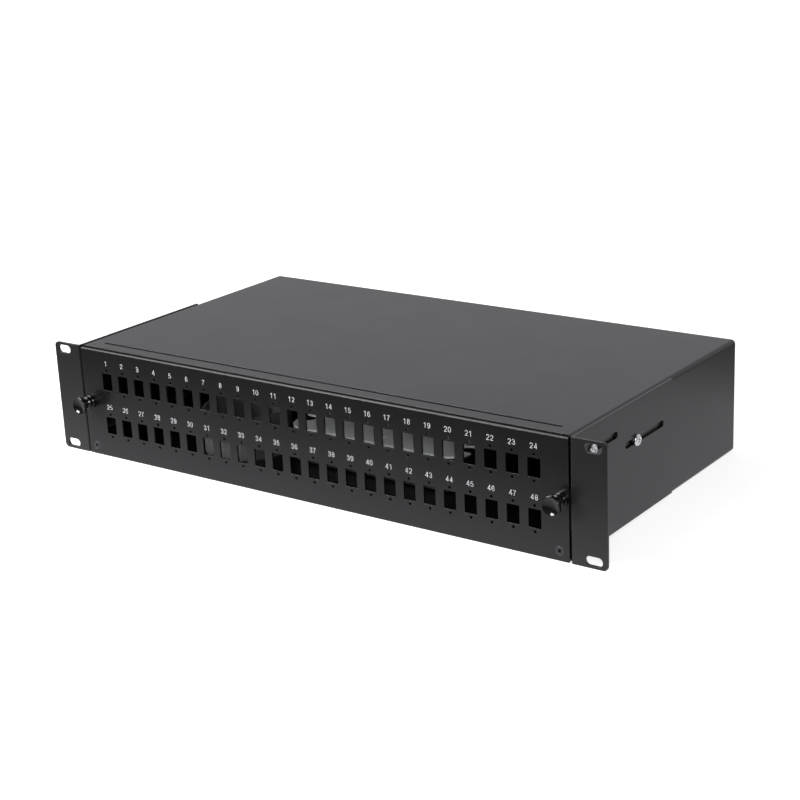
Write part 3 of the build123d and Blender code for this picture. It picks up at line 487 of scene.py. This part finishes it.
def spun(profile, steps):
    """Bmesh turned about Z from a half profile of (radius, height) corners."""
    shape = bmesh.new()
    corners = [shape.verts.new((radius, 0.0, height)) for radius, height in profile]
    edges = [shape.edges.new(pair) for pair in zip(corners, corners[1:])]
    bmesh.ops.spin(
        shape,
        geom=corners + edges,
        cent=(0, 0, 0),
        axis=(0, 0, 1),
        angle=tau,
        steps=steps,
        use_merge=True,
    )
    bmesh.ops.remove_doubles(shape, verts=shape.verts, dist=SPUN_REACH)
    return shape


def cut_cross(shape, level, reach, width, depth):
    """Closes a head's open rim with a cross recess that narrows towards its floor."""
    rim = [edge for edge in shape.edges if edge.is_boundary]
    outline = (
        (reach, -width), (reach, width), (width, width), (width, reach),
        (-width, reach), (-width, width), (-reach, width), (-reach, -width),
        (-width, -width), (-width, -reach), (width, -reach), (width, -width),
    )
    corners = [shape.verts.new((x, y, level)) for x, y in outline]
    edges = [shape.edges.new((corners[i - 1], corners[i])) for i in range(len(corners))]
    bmesh.ops.bridge_loops(shape, edges=rim + edges)
    walls = bmesh.ops.extrude_edge_only(shape, edges=edges)["geom"]
    floor = [item for item in walls if isinstance(item, bmesh.types.BMVert)]
    bmesh.ops.translate(shape, verts=floor, vec=(0, 0, -depth))
    bmesh.ops.scale(shape, verts=floor, vec=(RECESS_TAPER, RECESS_TAPER, 1.0))
    ends = [edge for edge in shape.edges if edge.is_boundary]
    bmesh.ops.contextual_create(shape, geom=ends)
    bmesh.ops.recalc_face_normals(shape, faces=shape.faces)


def length_prop(name, description, default):
    """Setting for a length, in metres."""
    return FloatProperty(
        name=name,
        description=description,
        default=default,
        min=0.0,
        precision=5,
        unit="LENGTH",
        subtype="DISTANCE",
    )


def colour_prop(name, description, default):
    """Setting for a colour."""
    return FloatVectorProperty(
        name=name, description=description, default=default, min=0.0, max=1.0, size=3, subtype="COLOR"
    )


def share_prop(name, description, default):
    """Setting for a share from 0 to 1."""
    return FloatProperty(
        name=name, description=description, default=default, min=0.0, max=1.0, subtype="FACTOR"
    )


def level_prop(name, description, default, unit="NONE"):
    """Setting for a power, a brightness or a focal length."""
    return FloatProperty(name=name, description=description, default=default, min=0.0, unit=unit)


class SheetSettings(PropertyGroup):
    """Edges and coat of the folded sheets"""

    edge: length_prop("Edge", "Rounding of the cut sheet edges", 0.0002)
    panel_edge: length_prop("Panel Edge", "Break of the port panel's top edge", 0.0008)
    port_edge: length_prop("Port Edge", "Rounding of the port panel's edges and openings", 0.0001)
    coat: colour_prop("Coat", "Colour of the powder coat", (0.0038, 0.0038, 0.0041))
    case_roughness: share_prop("Case Roughness", "Roughness of the coat on the case", 0.34)
    case_shine: share_prop("Case Shine", "Specular level of the coat on the case", 0.5)
    front_roughness: share_prop("Front Roughness", "Roughness of the coat on the port panel", 0.25)
    front_shine: share_prop("Front Shine", "Specular level of the coat on the port panel", 0.45)


class NumberSettings(PropertyGroup):
    """Size, place and colour of the port numbers"""

    height: length_prop("Height", "Height of the port numbers", 0.0039)
    rise: length_prop("Rise", "Middle of a number above the middle of its port", 0.01485)
    film: length_prop("Film", "Thickness of the print", 0.00004)
    stroke: share_prop("Stroke", "Thickness of the strokes, in heights of a digit", 0.1)
    breadth: share_prop("Breadth", "Extra breadth of the digits", 0.12)
    spacing: share_prop("Spacing", "Distance of two digits, in heights of a digit", 0.71)
    ink: colour_prop("Ink", "Colour of the print", (0.42, 0.425, 0.435))


class LatchSettings(PropertyGroup):
    """Edges and finish of the latches"""

    edge: length_prop("Edge", "Rounding of the moulded edges", 0.00014)
    room: length_prop("Room", "Gap between a knob and the ear that slides past it", 0.00006)
    body: colour_prop("Body", "Colour of the moulded latches", (0.003, 0.003, 0.0032))
    roughness: share_prop("Roughness", "Roughness of the moulded latches", 0.08)


class ScrewSettings(PropertyGroup):
    """Heads and finishes of the screws"""

    steps: IntProperty(name="Steps", description="Sides of a round screw head", default=40, min=12, max=96)
    recess: share_prop("Recess", "Reach of the cross recess in the head", 0.52)
    turn: FloatProperty(name="Turn", description="Turn of the cross recess, in degrees", default=38.0)
    zinc: colour_prop("Zinc", "Colour of the bright plate", (0.74, 0.75, 0.76))
    black: colour_prop("Black", "Colour of the blackened screws", (0.018, 0.018, 0.02))


class SlideSettings(PropertyGroup):
    """Finishes of the ball slides"""

    strip: colour_prop("Strip", "Colour of the plated slide rails", (0.56, 0.57, 0.59))
    ball: colour_prop("Ball", "Colour of the polished balls", (0.78, 0.78, 0.8))
    cage: colour_prop("Cage", "Colour of the ball cages", (0.07, 0.07, 0.075))


class TraySettings(PropertyGroup):
    """Edges and colours of trays, lid and ring"""

    edge: length_prop("Edge", "Rounding of the moulded edges", 0.00025)
    lid: colour_prop("Lid", "Colour of the tray lid", (0.84, 0.85, 0.86))
    ring: colour_prop("Ring", "Colour of the fibre drum", (0.15, 0.15, 0.155))
    shell: colour_prop("Shell", "Colour of the tray shells", (0.011, 0.011, 0.012))
    comb: colour_prop("Comb", "Colour of the splice combs", (0.03, 0.03, 0.033))


class GlandSettings(PropertyGroup):
    """Edges and colours of glands and plugs"""

    edge: length_prop("Edge", "Rounding of the moulded edges", 0.0003)
    body: colour_prop("Body", "Colour of glands and plugs", (0.018, 0.018, 0.02))
    seal: colour_prop("Seal", "Colour of the rubber seals", (0.03, 0.03, 0.03))


class StageSettings(PropertyGroup):
    """Floor, light and lens of the studio"""

    floor: colour_prop("Floor", "Colour of the floor", (0.62, 0.62, 0.62))
    tint: colour_prop("Tint", "Colour of the soft surround", (0.96, 0.96, 1.0))
    key: level_prop("Key", "Power of the front light", 55.0, "POWER")
    top: level_prop("Top", "Power of the overhead light", 14.0, "POWER")
    fill: level_prop("Fill", "Power of the light by the camera", 13.0, "POWER")
    front: level_prop("Front", "Brightness of the surround in front", 0.14)
    behind: level_prop("Behind", "Brightness of the surround behind", 0.72)
    lens: level_prop("Lens", "Focal length", 77.66, "CAMERA")


class PatchPanelSettings(PropertyGroup):
    """All settings of the patch panel"""

    sheets: PointerProperty(type=SheetSettings)
    numbers: PointerProperty(type=NumberSettings)
    latches: PointerProperty(type=LatchSettings)
    screws: PointerProperty(type=ScrewSettings)
    slides: PointerProperty(type=SlideSettings)
    trays: PointerProperty(type=TraySettings)
    glands: PointerProperty(type=GlandSettings)
    stage: PointerProperty(type=StageSettings)


def coated_sheets(finish, edge, names, limited=False):
    """Softened copies of folded sheets in one powder coat."""
    for node, name in names.items():
        shape = softened(node, edge, limited=limited)
        piece_from(shape, name, carried_by(node), "powder_black", finish, node)


def case_coat(settings):
    """Coat that the case, the ears and the pan share."""
    name = "powder_coat_case"
    found = bpy.data.materials.get(name)
    return found or powder_coat(name, settings.coat, settings.case_roughness, settings.case_shine)


def front_coat(settings):
    """Slightly glossier coat of the port panel."""
    return powder_coat("powder_coat_front", settings.coat, settings.front_roughness, settings.front_shine)


class PANEL_OT_case_sheets(Operator):
    """Folded top and sides, base plate and gland plate of the case"""

    bl_idname = "patch_panel.case_sheets"
    bl_label = "Case Sheets"

    def execute(self, context):
        settings = context.scene.patch_panel.sheets
        coated_sheets(case_coat(settings), settings.edge, {
            "case_wrap": "case_shell",
            "base_plate": "case_floor",
            "rear_panel": "gland_plate",
        })
        return {"FINISHED"}


class PANEL_OT_rack_ears(Operator):
    """Angle brackets that carry the case in the rack"""

    bl_idname = "patch_panel.rack_ears"
    bl_label = "Rack Ears"

    def execute(self, context):
        settings = context.scene.patch_panel.sheets
        coated_sheets(case_coat(settings), settings.edge, {
            "rack_ear_left": "ear_bracket_left",
            "rack_ear_right": "ear_bracket_right",
        })
        return {"FINISHED"}


class PANEL_OT_drawer_sheets(Operator):
    """Port panel with its 48 openings, and the pan behind it"""

    bl_idname = "patch_panel.drawer_sheets"
    bl_label = "Drawer Sheets"

    def execute(self, context):
        settings = context.scene.patch_panel.sheets
        coated_sheets(case_coat(settings), settings.edge, {"drawer_pan": "drawer_floor"}, limited=True)
        panel = whole_faces("front_panel")
        low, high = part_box("front_panel")
        shave(panel, (0.0, low.y, high.z - settings.panel_edge), (0.0, -1.0, 1.0))
        round_off(panel, sharp_edges(panel, SHARP_ANGLE), settings.port_edge, segments=2)
        finish = front_coat(settings)
        piece_from(panel, "port_panel", carried_by("front_panel"), "powder_black", finish, "front_panel")
        return {"FINISHED"}


class PANEL_OT_port_numbers(Operator):
    """Printed numbers above the ports"""

    bl_idname = "patch_panel.port_numbers"
    bl_label = "Port Numbers"

    @staticmethod
    def flat_number(text, settings):
        """Mesh of a number drawn flat in strokes, one unit tall and centred across."""
        curve = bpy.data.curves.new("number", "CURVE")
        curve.dimensions = "3D"
        curve.resolution_u = STROKE_STEPS
        curve.bevel_depth = settings.stroke / 2
        curve.bevel_resolution = 0
        curve.use_fill_caps = True
        for place, digit in enumerate(text):
            shift = (place - (len(text) - 1) / 2) * settings.spacing - DIGIT_MIDDLE
            for kind, *points in DIGITS[digit]:
                spline = curve.splines.new("BEZIER")
                spline.bezier_points.add(len(points) - 1)
                spline.use_cyclic_u = kind == "ring"
                for knot, (x, y) in zip(spline.bezier_points, points):
                    knot.co = (x + shift, y, 0.0)
                    knot.handle_left_type = "VECTOR" if kind == "bar" else "AUTO"
                    knot.handle_right_type = knot.handle_left_type
        sign = bpy.data.objects.new("number", curve)
        mesh = bpy.data.meshes.new_from_object(sign)
        bpy.data.objects.remove(sign)
        bpy.data.curves.remove(curve)
        return mesh

    def execute(self, context):
        settings = context.scene.patch_panel.numbers
        print_out = bmesh.new()
        pitch = (last_port.x - first_port.x) / (PORT_COLUMNS - 1)
        tall = settings.height
        size = Matrix.Diagonal((tall * (1.0 + settings.breadth), tall, settings.film / settings.stroke, 1.0))
        upright = Matrix.Rotation(radians(90.0), 4, "X") @ size
        for port in range(2 * PORT_COLUMNS):
            row, column = divmod(port, PORT_COLUMNS)
            level = (first_port.z, last_port.z)[row] + settings.rise - tall / 2
            place = Vector((first_port.x + column * pitch, first_port.y, level))
            mesh = self.flat_number(str(port + 1), settings)
            add_mesh(print_out, mesh, Matrix.Translation(place) @ upright)
        bmesh.ops.remove_doubles(print_out, verts=print_out.verts, dist=FINE_REACH)
        finish = printing_ink("number_ink", settings.ink)
        piece_from(print_out, "port_numbers", "drawer", "powder_black", finish)
        return {"FINISHED"}


class PANEL_OT_latches(Operator):
    """Push-pull knobs and the split grommets that they lock"""

    bl_idname = "patch_panel.latches"
    bl_label = "Latches"

    def execute(self, context):
        settings = context.scene.patch_panel.latches
        finish = moulded_plastic("latch_nylon", settings.body, settings.roughness, grain=0.06)
        for side in ("left", "right"):
            for node, name in (("latch_plunger_", "latch_knob_"), ("latch_grommet_", "latch_collar_")):
                shape = softened(node + side, settings.edge, sharp=28.0, segments=3)
                if node == "latch_plunger_":
                    self.slim(shape, node + side, settings.room)
                piece_from(shape, name + side, carried_by(node + side), "latch_black", finish, node + side)
        return {"FINISHED"}

    @staticmethod
    def slim(shape, node, room):
        """Takes a little off the radius of a knob."""
        low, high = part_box(node)
        size = 1.0 - room / ((high.x - low.x) / 2)
        to_axis = Matrix.Translation(-(low + high) / 2)
        bmesh.ops.scale(shape, verts=shape.verts, vec=(size, 1.0, size), space=to_axis)


class PANEL_OT_screws(Operator):
    """Cross-recess screws, clinch nuts and studs"""

    bl_idname = "patch_panel.screws"
    bl_label = "Screws"

    @staticmethod
    def pan_head(head, rise, size, length, settings):
        """Pan-head screw along Z with its seat at the origin, spun from its tip to the rim of its recess."""
        shape = spun(
            [
                (0.0, -length),
                (size * 0.42, -length),
                (size * 0.5, -length + size * 0.12),
                (size * 0.5, 0.0),
                (head * 0.47, 0.0),
                (head * 0.5, rise * 0.12),
                (head * 0.5, rise * 0.42),
                (head * 0.485, rise * 0.58),
                (head * 0.44, rise * 0.76),
                (head * 0.37, rise * 0.9),
                (head * 0.31, rise * 0.97),
                (head * 0.29, rise * 0.985),
            ],
            settings.steps,
        )
        reach = head * 0.5 * settings.recess
        cut_cross(shape, level=rise, reach=reach, width=head * 0.055, depth=rise * 0.5)
        return shape

    @staticmethod
    def flush_head(head, rise, size, length, settings):
        """Countersunk screw along Z with the face of its head at the origin, spun in the same way."""
        shape = spun(
            [
                (0.0, -length),
                (size * 0.42, -length),
                (size * 0.5, -length + size * 0.12),
                (size * 0.5, -rise),
                (head * 0.49, -rise * 0.16),
                (head * 0.5, -rise * 0.1),
                (head * 0.485, -rise * 0.02),
                (head * 0.46, 0.0),
                (head * 0.3, 0.0),
            ],
            settings.steps,
        )
        reach = head * 0.5 * settings.recess
        cut_cross(shape, level=0.0, reach=reach, width=head * 0.06, depth=rise * 0.7)
        return shape

    def execute(self, context):
        settings = context.scene.patch_panel.screws
        zinc = plated_steel("zinc_plate", settings.zinc, roughness=0.26, streak=(1.0, 1.0, 1.0))
        black = powder_coat("black_oxide", settings.black, roughness=0.34, shine=0.5)
        self.ear_screws(settings, zinc)
        self.along_depth("panel_screws", "panel_cross_screws", -1.0, settings, "black_screw", black)
        self.along_depth("rear_screws", "rear_cross_screws", 1.0, settings, "zinc_steel", zinc)
        for node in ("ear_nuts", "panel_nuts", "tray_studs", "base_screws", "drum_screws"):
            coat_node(node, zinc)
        return {"FINISHED"}

    def ear_screws(self, settings, finish):
        """Bright clamp screws of both ears."""
        group = bmesh.new()
        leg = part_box("rack_ear_right")
        seat = leg[0].x + EAR_SHEET
        for low, high in solids_of("ear_screws"):
            side = 1.0 if high.x > 0 else -1.0
            tip, crown = (low.x, high.x) if side > 0 else (-high.x, -low.x)
            head = high.z - low.z
            shape = self.pan_head(head, crown - seat, head * EAR_THREAD, seat - tip, settings)
            place = Vector((side * seat, (low.y + high.y) / 2, (low.z + high.z) / 2))
            add_mesh(group, mesh_from(shape, "screw"), self.tightened(place, (side, 0, 0), settings))
        piece_from(group, "ear_cross_screws", "case", "zinc_steel", finish, "ear_screws")

    def along_depth(self, node, name, way, settings, slot, finish):
        """Screws along the depth of the case, their heads towards one way."""
        group = bmesh.new()
        for low, high in solids_of(node):
            head = high.z - low.z
            length = high.y - low.y
            middle = Vector(((low.x + high.x) / 2, 0.0, (low.z + high.z) / 2))
            if way < 0:
                shape = self.flush_head(head, head * FLUSH_DEPTH, head * FLUSH_THREAD, length, settings)
                middle.y = low.y
            else:
                shape = self.pan_head(head, REAR_RISE, head * REAR_THREAD, length - REAR_RISE, settings)
                middle.y = high.y - REAR_RISE
            add_mesh(group, mesh_from(shape, "screw"), self.tightened(middle, (0, way, 0), settings))
        piece_from(group, name, carried_by(node), slot, finish, node)

    @staticmethod
    def tightened(place, direction, settings):
        """Placement of a screw whose head looks in a direction, its cross recess turned."""
        facing = Vector(direction).to_track_quat("Z", "Y").to_matrix().to_4x4()
        turned = Matrix.Rotation(radians(settings.turn), 4, "Z")
        return Matrix.Translation(place) @ facing @ turned


class PANEL_OT_ball_slides(Operator):
    """Plated slide rails, polished balls and their cages"""

    bl_idname = "patch_panel.ball_slides"
    bl_label = "Ball Slides"

    def execute(self, context):
        settings = context.scene.patch_panel.slides
        strip = plated_steel("slide_strip", settings.strip, roughness=0.34, streak=(3.0, 0.06, 3.0))
        ball = plated_steel("ball_steel", settings.ball, roughness=0.14, streak=(1.0, 1.0, 1.0))
        cage = moulded_plastic("cage_plastic", settings.cage, roughness=0.5, grain=0.3)
        for side in ("left", "right"):
            coat_node("slide_outer_" + side, strip)
            coat_node("slide_inner_" + side, strip)
            coat_node("slide_balls_" + side, ball)
            coat_node("ball_cage_" + side, cage)
        return {"FINISHED"}


class PANEL_OT_splice_trays(Operator):
    """Stack of splice trays with combs and lid, and the ring for spare fibre"""

    bl_idname = "patch_panel.splice_trays"
    bl_label = "Splice Trays"

    def execute(self, context):
        settings = context.scene.patch_panel.trays
        lid = moulded_plastic("lid_plastic", settings.lid, roughness=0.42, grain=0.12)
        shell = moulded_plastic("tray_plastic", settings.shell, roughness=0.6, grain=0.2)
        comb = moulded_plastic("comb_rubber", settings.comb, roughness=0.62, grain=0.4)
        ring = moulded_plastic("drum_plastic", settings.ring, roughness=0.4, grain=0.12)
        for node, name, slot, finish in (
            ("splice_tray_lower", "tray_shell_lower", "tray_black", shell),
            ("splice_tray_upper", "tray_shell_upper", "tray_black", shell),
            ("splice_lid", "tray_cover", "lid_grey", lid),
            ("fibre_drum", "fibre_ring", "drum_grey", ring),
        ):
            piece_from(softened(node, settings.edge), name, carried_by(node), slot, finish, node)
        for node in ("splice_comb_lower", "splice_comb_upper"):
            coat_node(node, comb)
        for node in ("tray_nuts", "tray_spacers"):
            coat_node(node, shell)
        return {"FINISHED"}


class PANEL_OT_cable_glands(Operator):
    """Cable glands and blank plugs of the gland plate"""

    bl_idname = "patch_panel.cable_glands"
    bl_label = "Cable Glands"

    def execute(self, context):
        settings = context.scene.patch_panel.glands
        nylon = moulded_plastic("gland_nylon", settings.body, roughness=0.42, grain=0.25)
        rubber = moulded_plastic("seal_rubber", settings.seal, roughness=0.7, grain=0.5)
        for side in ("left", "right"):
            for node, name, slot, finish in (
                ("gland_body_", "gland_neck_", "gland_black", nylon),
                ("gland_nut_", "gland_dome_", "gland_black", nylon),
                ("gland_locknut_", "gland_ring_", "gland_black", nylon),
                ("blank_plug_", "hole_cap_", "seal_rubber", rubber),
            ):
                shape = softened(node + side, settings.edge, sharp=25.0, limited=True)
                piece_from(shape, name + side, carried_by(node + side), slot, finish, node + side)
            coat_node("gland_seal_" + side, rubber)
        return {"FINISHED"}


class PANEL_OT_stage(Operator):
    """Pale floor, studio lights, world and the camera"""

    bl_idname = "patch_panel.stage"
    bl_label = "Studio"

    def execute(self, context):
        settings = context.scene.patch_panel.stage
        self.floor(settings)
        self.world(context, settings)
        for name, (place, size) in LAMPS.items():
            self.lamp(name + "_light", place, size, getattr(settings, name))
        self.camera(context, settings)
        context.scene.view_settings.view_transform = "Standard"
        return {"FINISHED"}

    @staticmethod
    def slope(finish, value, start, end, low, high):
        """Smooth rise from a low to a high value."""
        return finish.node(
            "MapRange",
            {"interpolation_type": "SMOOTHSTEP"},
            {"Value": value, "From Min": start, "From Max": end, "To Min": low, "To Max": high},
            "Result",
        )

    def floor(self, settings):
        """Wide floor under the ears, topped up to white where it is seen; glossy and transmission rays see a
        painted reflection instead, a set glow in bright and dark bands by depth.
        """
        shape = bmesh.new()
        bmesh.ops.create_grid(shape, x_segments=1, y_segments=1, size=FLOOR_REACH)
        bmesh.ops.translate(shape, verts=shape.verts, vec=(0.0, FLOOR_SHIFT, cad_box[0].z))
        mesh = mesh_from(shape, "studio_floor")
        paper = new_finish("studio_floor")
        place = paper.node("TexCoord", output="Object")
        reach = paper.node("VectorMath", {"operation": "LENGTH"}, {0: place}, "Value")
        depth = paper.node("SeparateXYZ", {}, {"Vector": place}, "Y")
        seen = paper.node("LightPath", output="Is Camera Ray")
        mirrored = paper.node("LightPath", output="Is Glossy Ray")
        through = paper.node("LightPath", output="Is Transmission Ray")
        top_up = seen * self.slope(paper, reach, start=0.5, end=3.0, low=0.72, high=0.9)
        matt = paper.node("BsdfDiffuse", {}, {"Color": shade(settings.floor, 1.0)})
        glow = paper.node("Emission", {}, {"Color": WHITE, "Strength": top_up})
        lit = paper.node("AddShader", {}, {0: matt, 1: glow})
        # Painted reflection: a set table of glowing tones by depth, shown to glossy and transmission rays in
        # place of the lit floor
        stops = [((y - PAINTED_MIRROR_START) / PAINTED_MIRROR_SPAN, shade(settings.tint, tone)) for y, tone in PAINTED_MIRROR_TONES]
        along = (depth - PAINTED_MIRROR_START) / PAINTED_MIRROR_SPAN
        table = paper.node("ValToRGB", {"stops": stops}, {"Fac": along}, "Color")
        painted_reflection = paper.node("Emission", {}, {"Color": table, "Strength": PAINTED_MIRROR_STRENGTH})
        both = paper.node("MixShader", {}, {0: mirrored + through, 1: lit, 2: painted_reflection})
        paper.node("OutputMaterial", {}, {"Surface": both})
        mesh.materials.append(paper.owner)
        floor = bpy.data.objects.new("studio_floor", mesh)
        bpy.context.scene.collection.objects.link(floor)

    def world(self, context, settings):
        """Soft surround, brighter behind the object, and white where it is seen."""
        world = bpy.data.worlds.new("studio_surround")
        context.scene.world = world
        air = Finish(world)
        way = air.node("TexCoord", output="Generated")
        depth = air.node("SeparateXYZ", {}, {"Vector": way}, "Y")
        around = self.slope(air, depth, start=-0.3, end=0.6, low=settings.front, high=settings.behind)
        seen = air.node("LightPath", output="Is Camera Ray")
        soft = air.node("Background", {}, {"Color": shade(settings.tint, 1.0), "Strength": around})
        white = air.node("Background", {}, {"Color": WHITE, "Strength": 1.0})
        mix = air.node("MixShader", {}, {0: seen, 1: soft, 2: white})
        air.node("OutputWorld", {}, {"Surface": mix})

    @staticmethod
    def lamp(name, place, size, power):
        """Square area light that looks at the object."""
        light = bpy.data.lights.new(name, "AREA")
        light.size = size
        light.energy = power
        lamp = bpy.data.objects.new(name, light)
        lamp.location = place
        lamp.rotation_euler = (-Vector(place)).to_track_quat("-Z", "Y").to_euler()
        bpy.context.scene.collection.objects.link(lamp)

    @staticmethod
    def camera(context, settings):
        """Camera at the photograph's angle."""
        right = Vector(CAMERA_RIGHT)
        up = Vector(CAMERA_UP)
        back = right.cross(up)
        view = bpy.data.cameras.new("camera")
        view.lens = settings.lens
        view.sensor_width = 36.0
        view.clip_end = 100.0
        camera = bpy.data.objects.new("camera", view)
        turn = Matrix((right, up, back)).transposed().to_4x4()
        camera.matrix_world = Matrix.Translation(CAMERA_PLACE) @ turn
        bpy.context.scene.collection.objects.link(camera)
        context.scene.camera = camera


class PANEL_PT_dress(Panel):
    """Settings and steps of the patch panel's looks"""

    bl_label = "Patch Panel"
    bl_idname = "PANEL_PT_dress"
    bl_space_type = "VIEW_3D"
    bl_region_type = "UI"
    bl_category = "Patch Panel"

    def draw(self, context):
        settings = context.scene.patch_panel
        for step in steps:
            self.layout.operator(step.bl_idname)
        for group in PatchPanelSettings.__annotations__:
            box = self.layout.box()
            box.label(text=group.capitalize())
            part = getattr(settings, group)
            for name in part.__annotations__:
                box.prop(part, name)


setting_groups = (
    SheetSettings,
    NumberSettings,
    LatchSettings,
    ScrewSettings,
    SlideSettings,
    TraySettings,
    GlandSettings,
    StageSettings,
    PatchPanelSettings,
)
steps = (
    PANEL_OT_case_sheets,
    PANEL_OT_rack_ears,
    PANEL_OT_drawer_sheets,
    PANEL_OT_port_numbers,
    PANEL_OT_latches,
    PANEL_OT_screws,
    PANEL_OT_ball_slides,
    PANEL_OT_splice_trays,
    PANEL_OT_cable_glands,
    PANEL_OT_stage,
)


def register():
    """Adds the settings, the steps and the panel to Blender."""
    for item in (*setting_groups, *steps, PANEL_PT_dress):
        bpy.utils.register_class(item)
    bpy.types.Scene.patch_panel = PointerProperty(type=PatchPanelSettings)


def unregister():
    """Takes them out again."""
    del bpy.types.Scene.patch_panel
    for item in reversed((*setting_groups, *steps, PANEL_PT_dress)):
        bpy.utils.unregister_class(item)


def main():
    """Runs every step in order."""
    register()
    for step in steps:
        group, name = step.bl_idname.split(".")
        getattr(getattr(bpy.ops, group), name)()


if __name__ == "__main__":
    main()
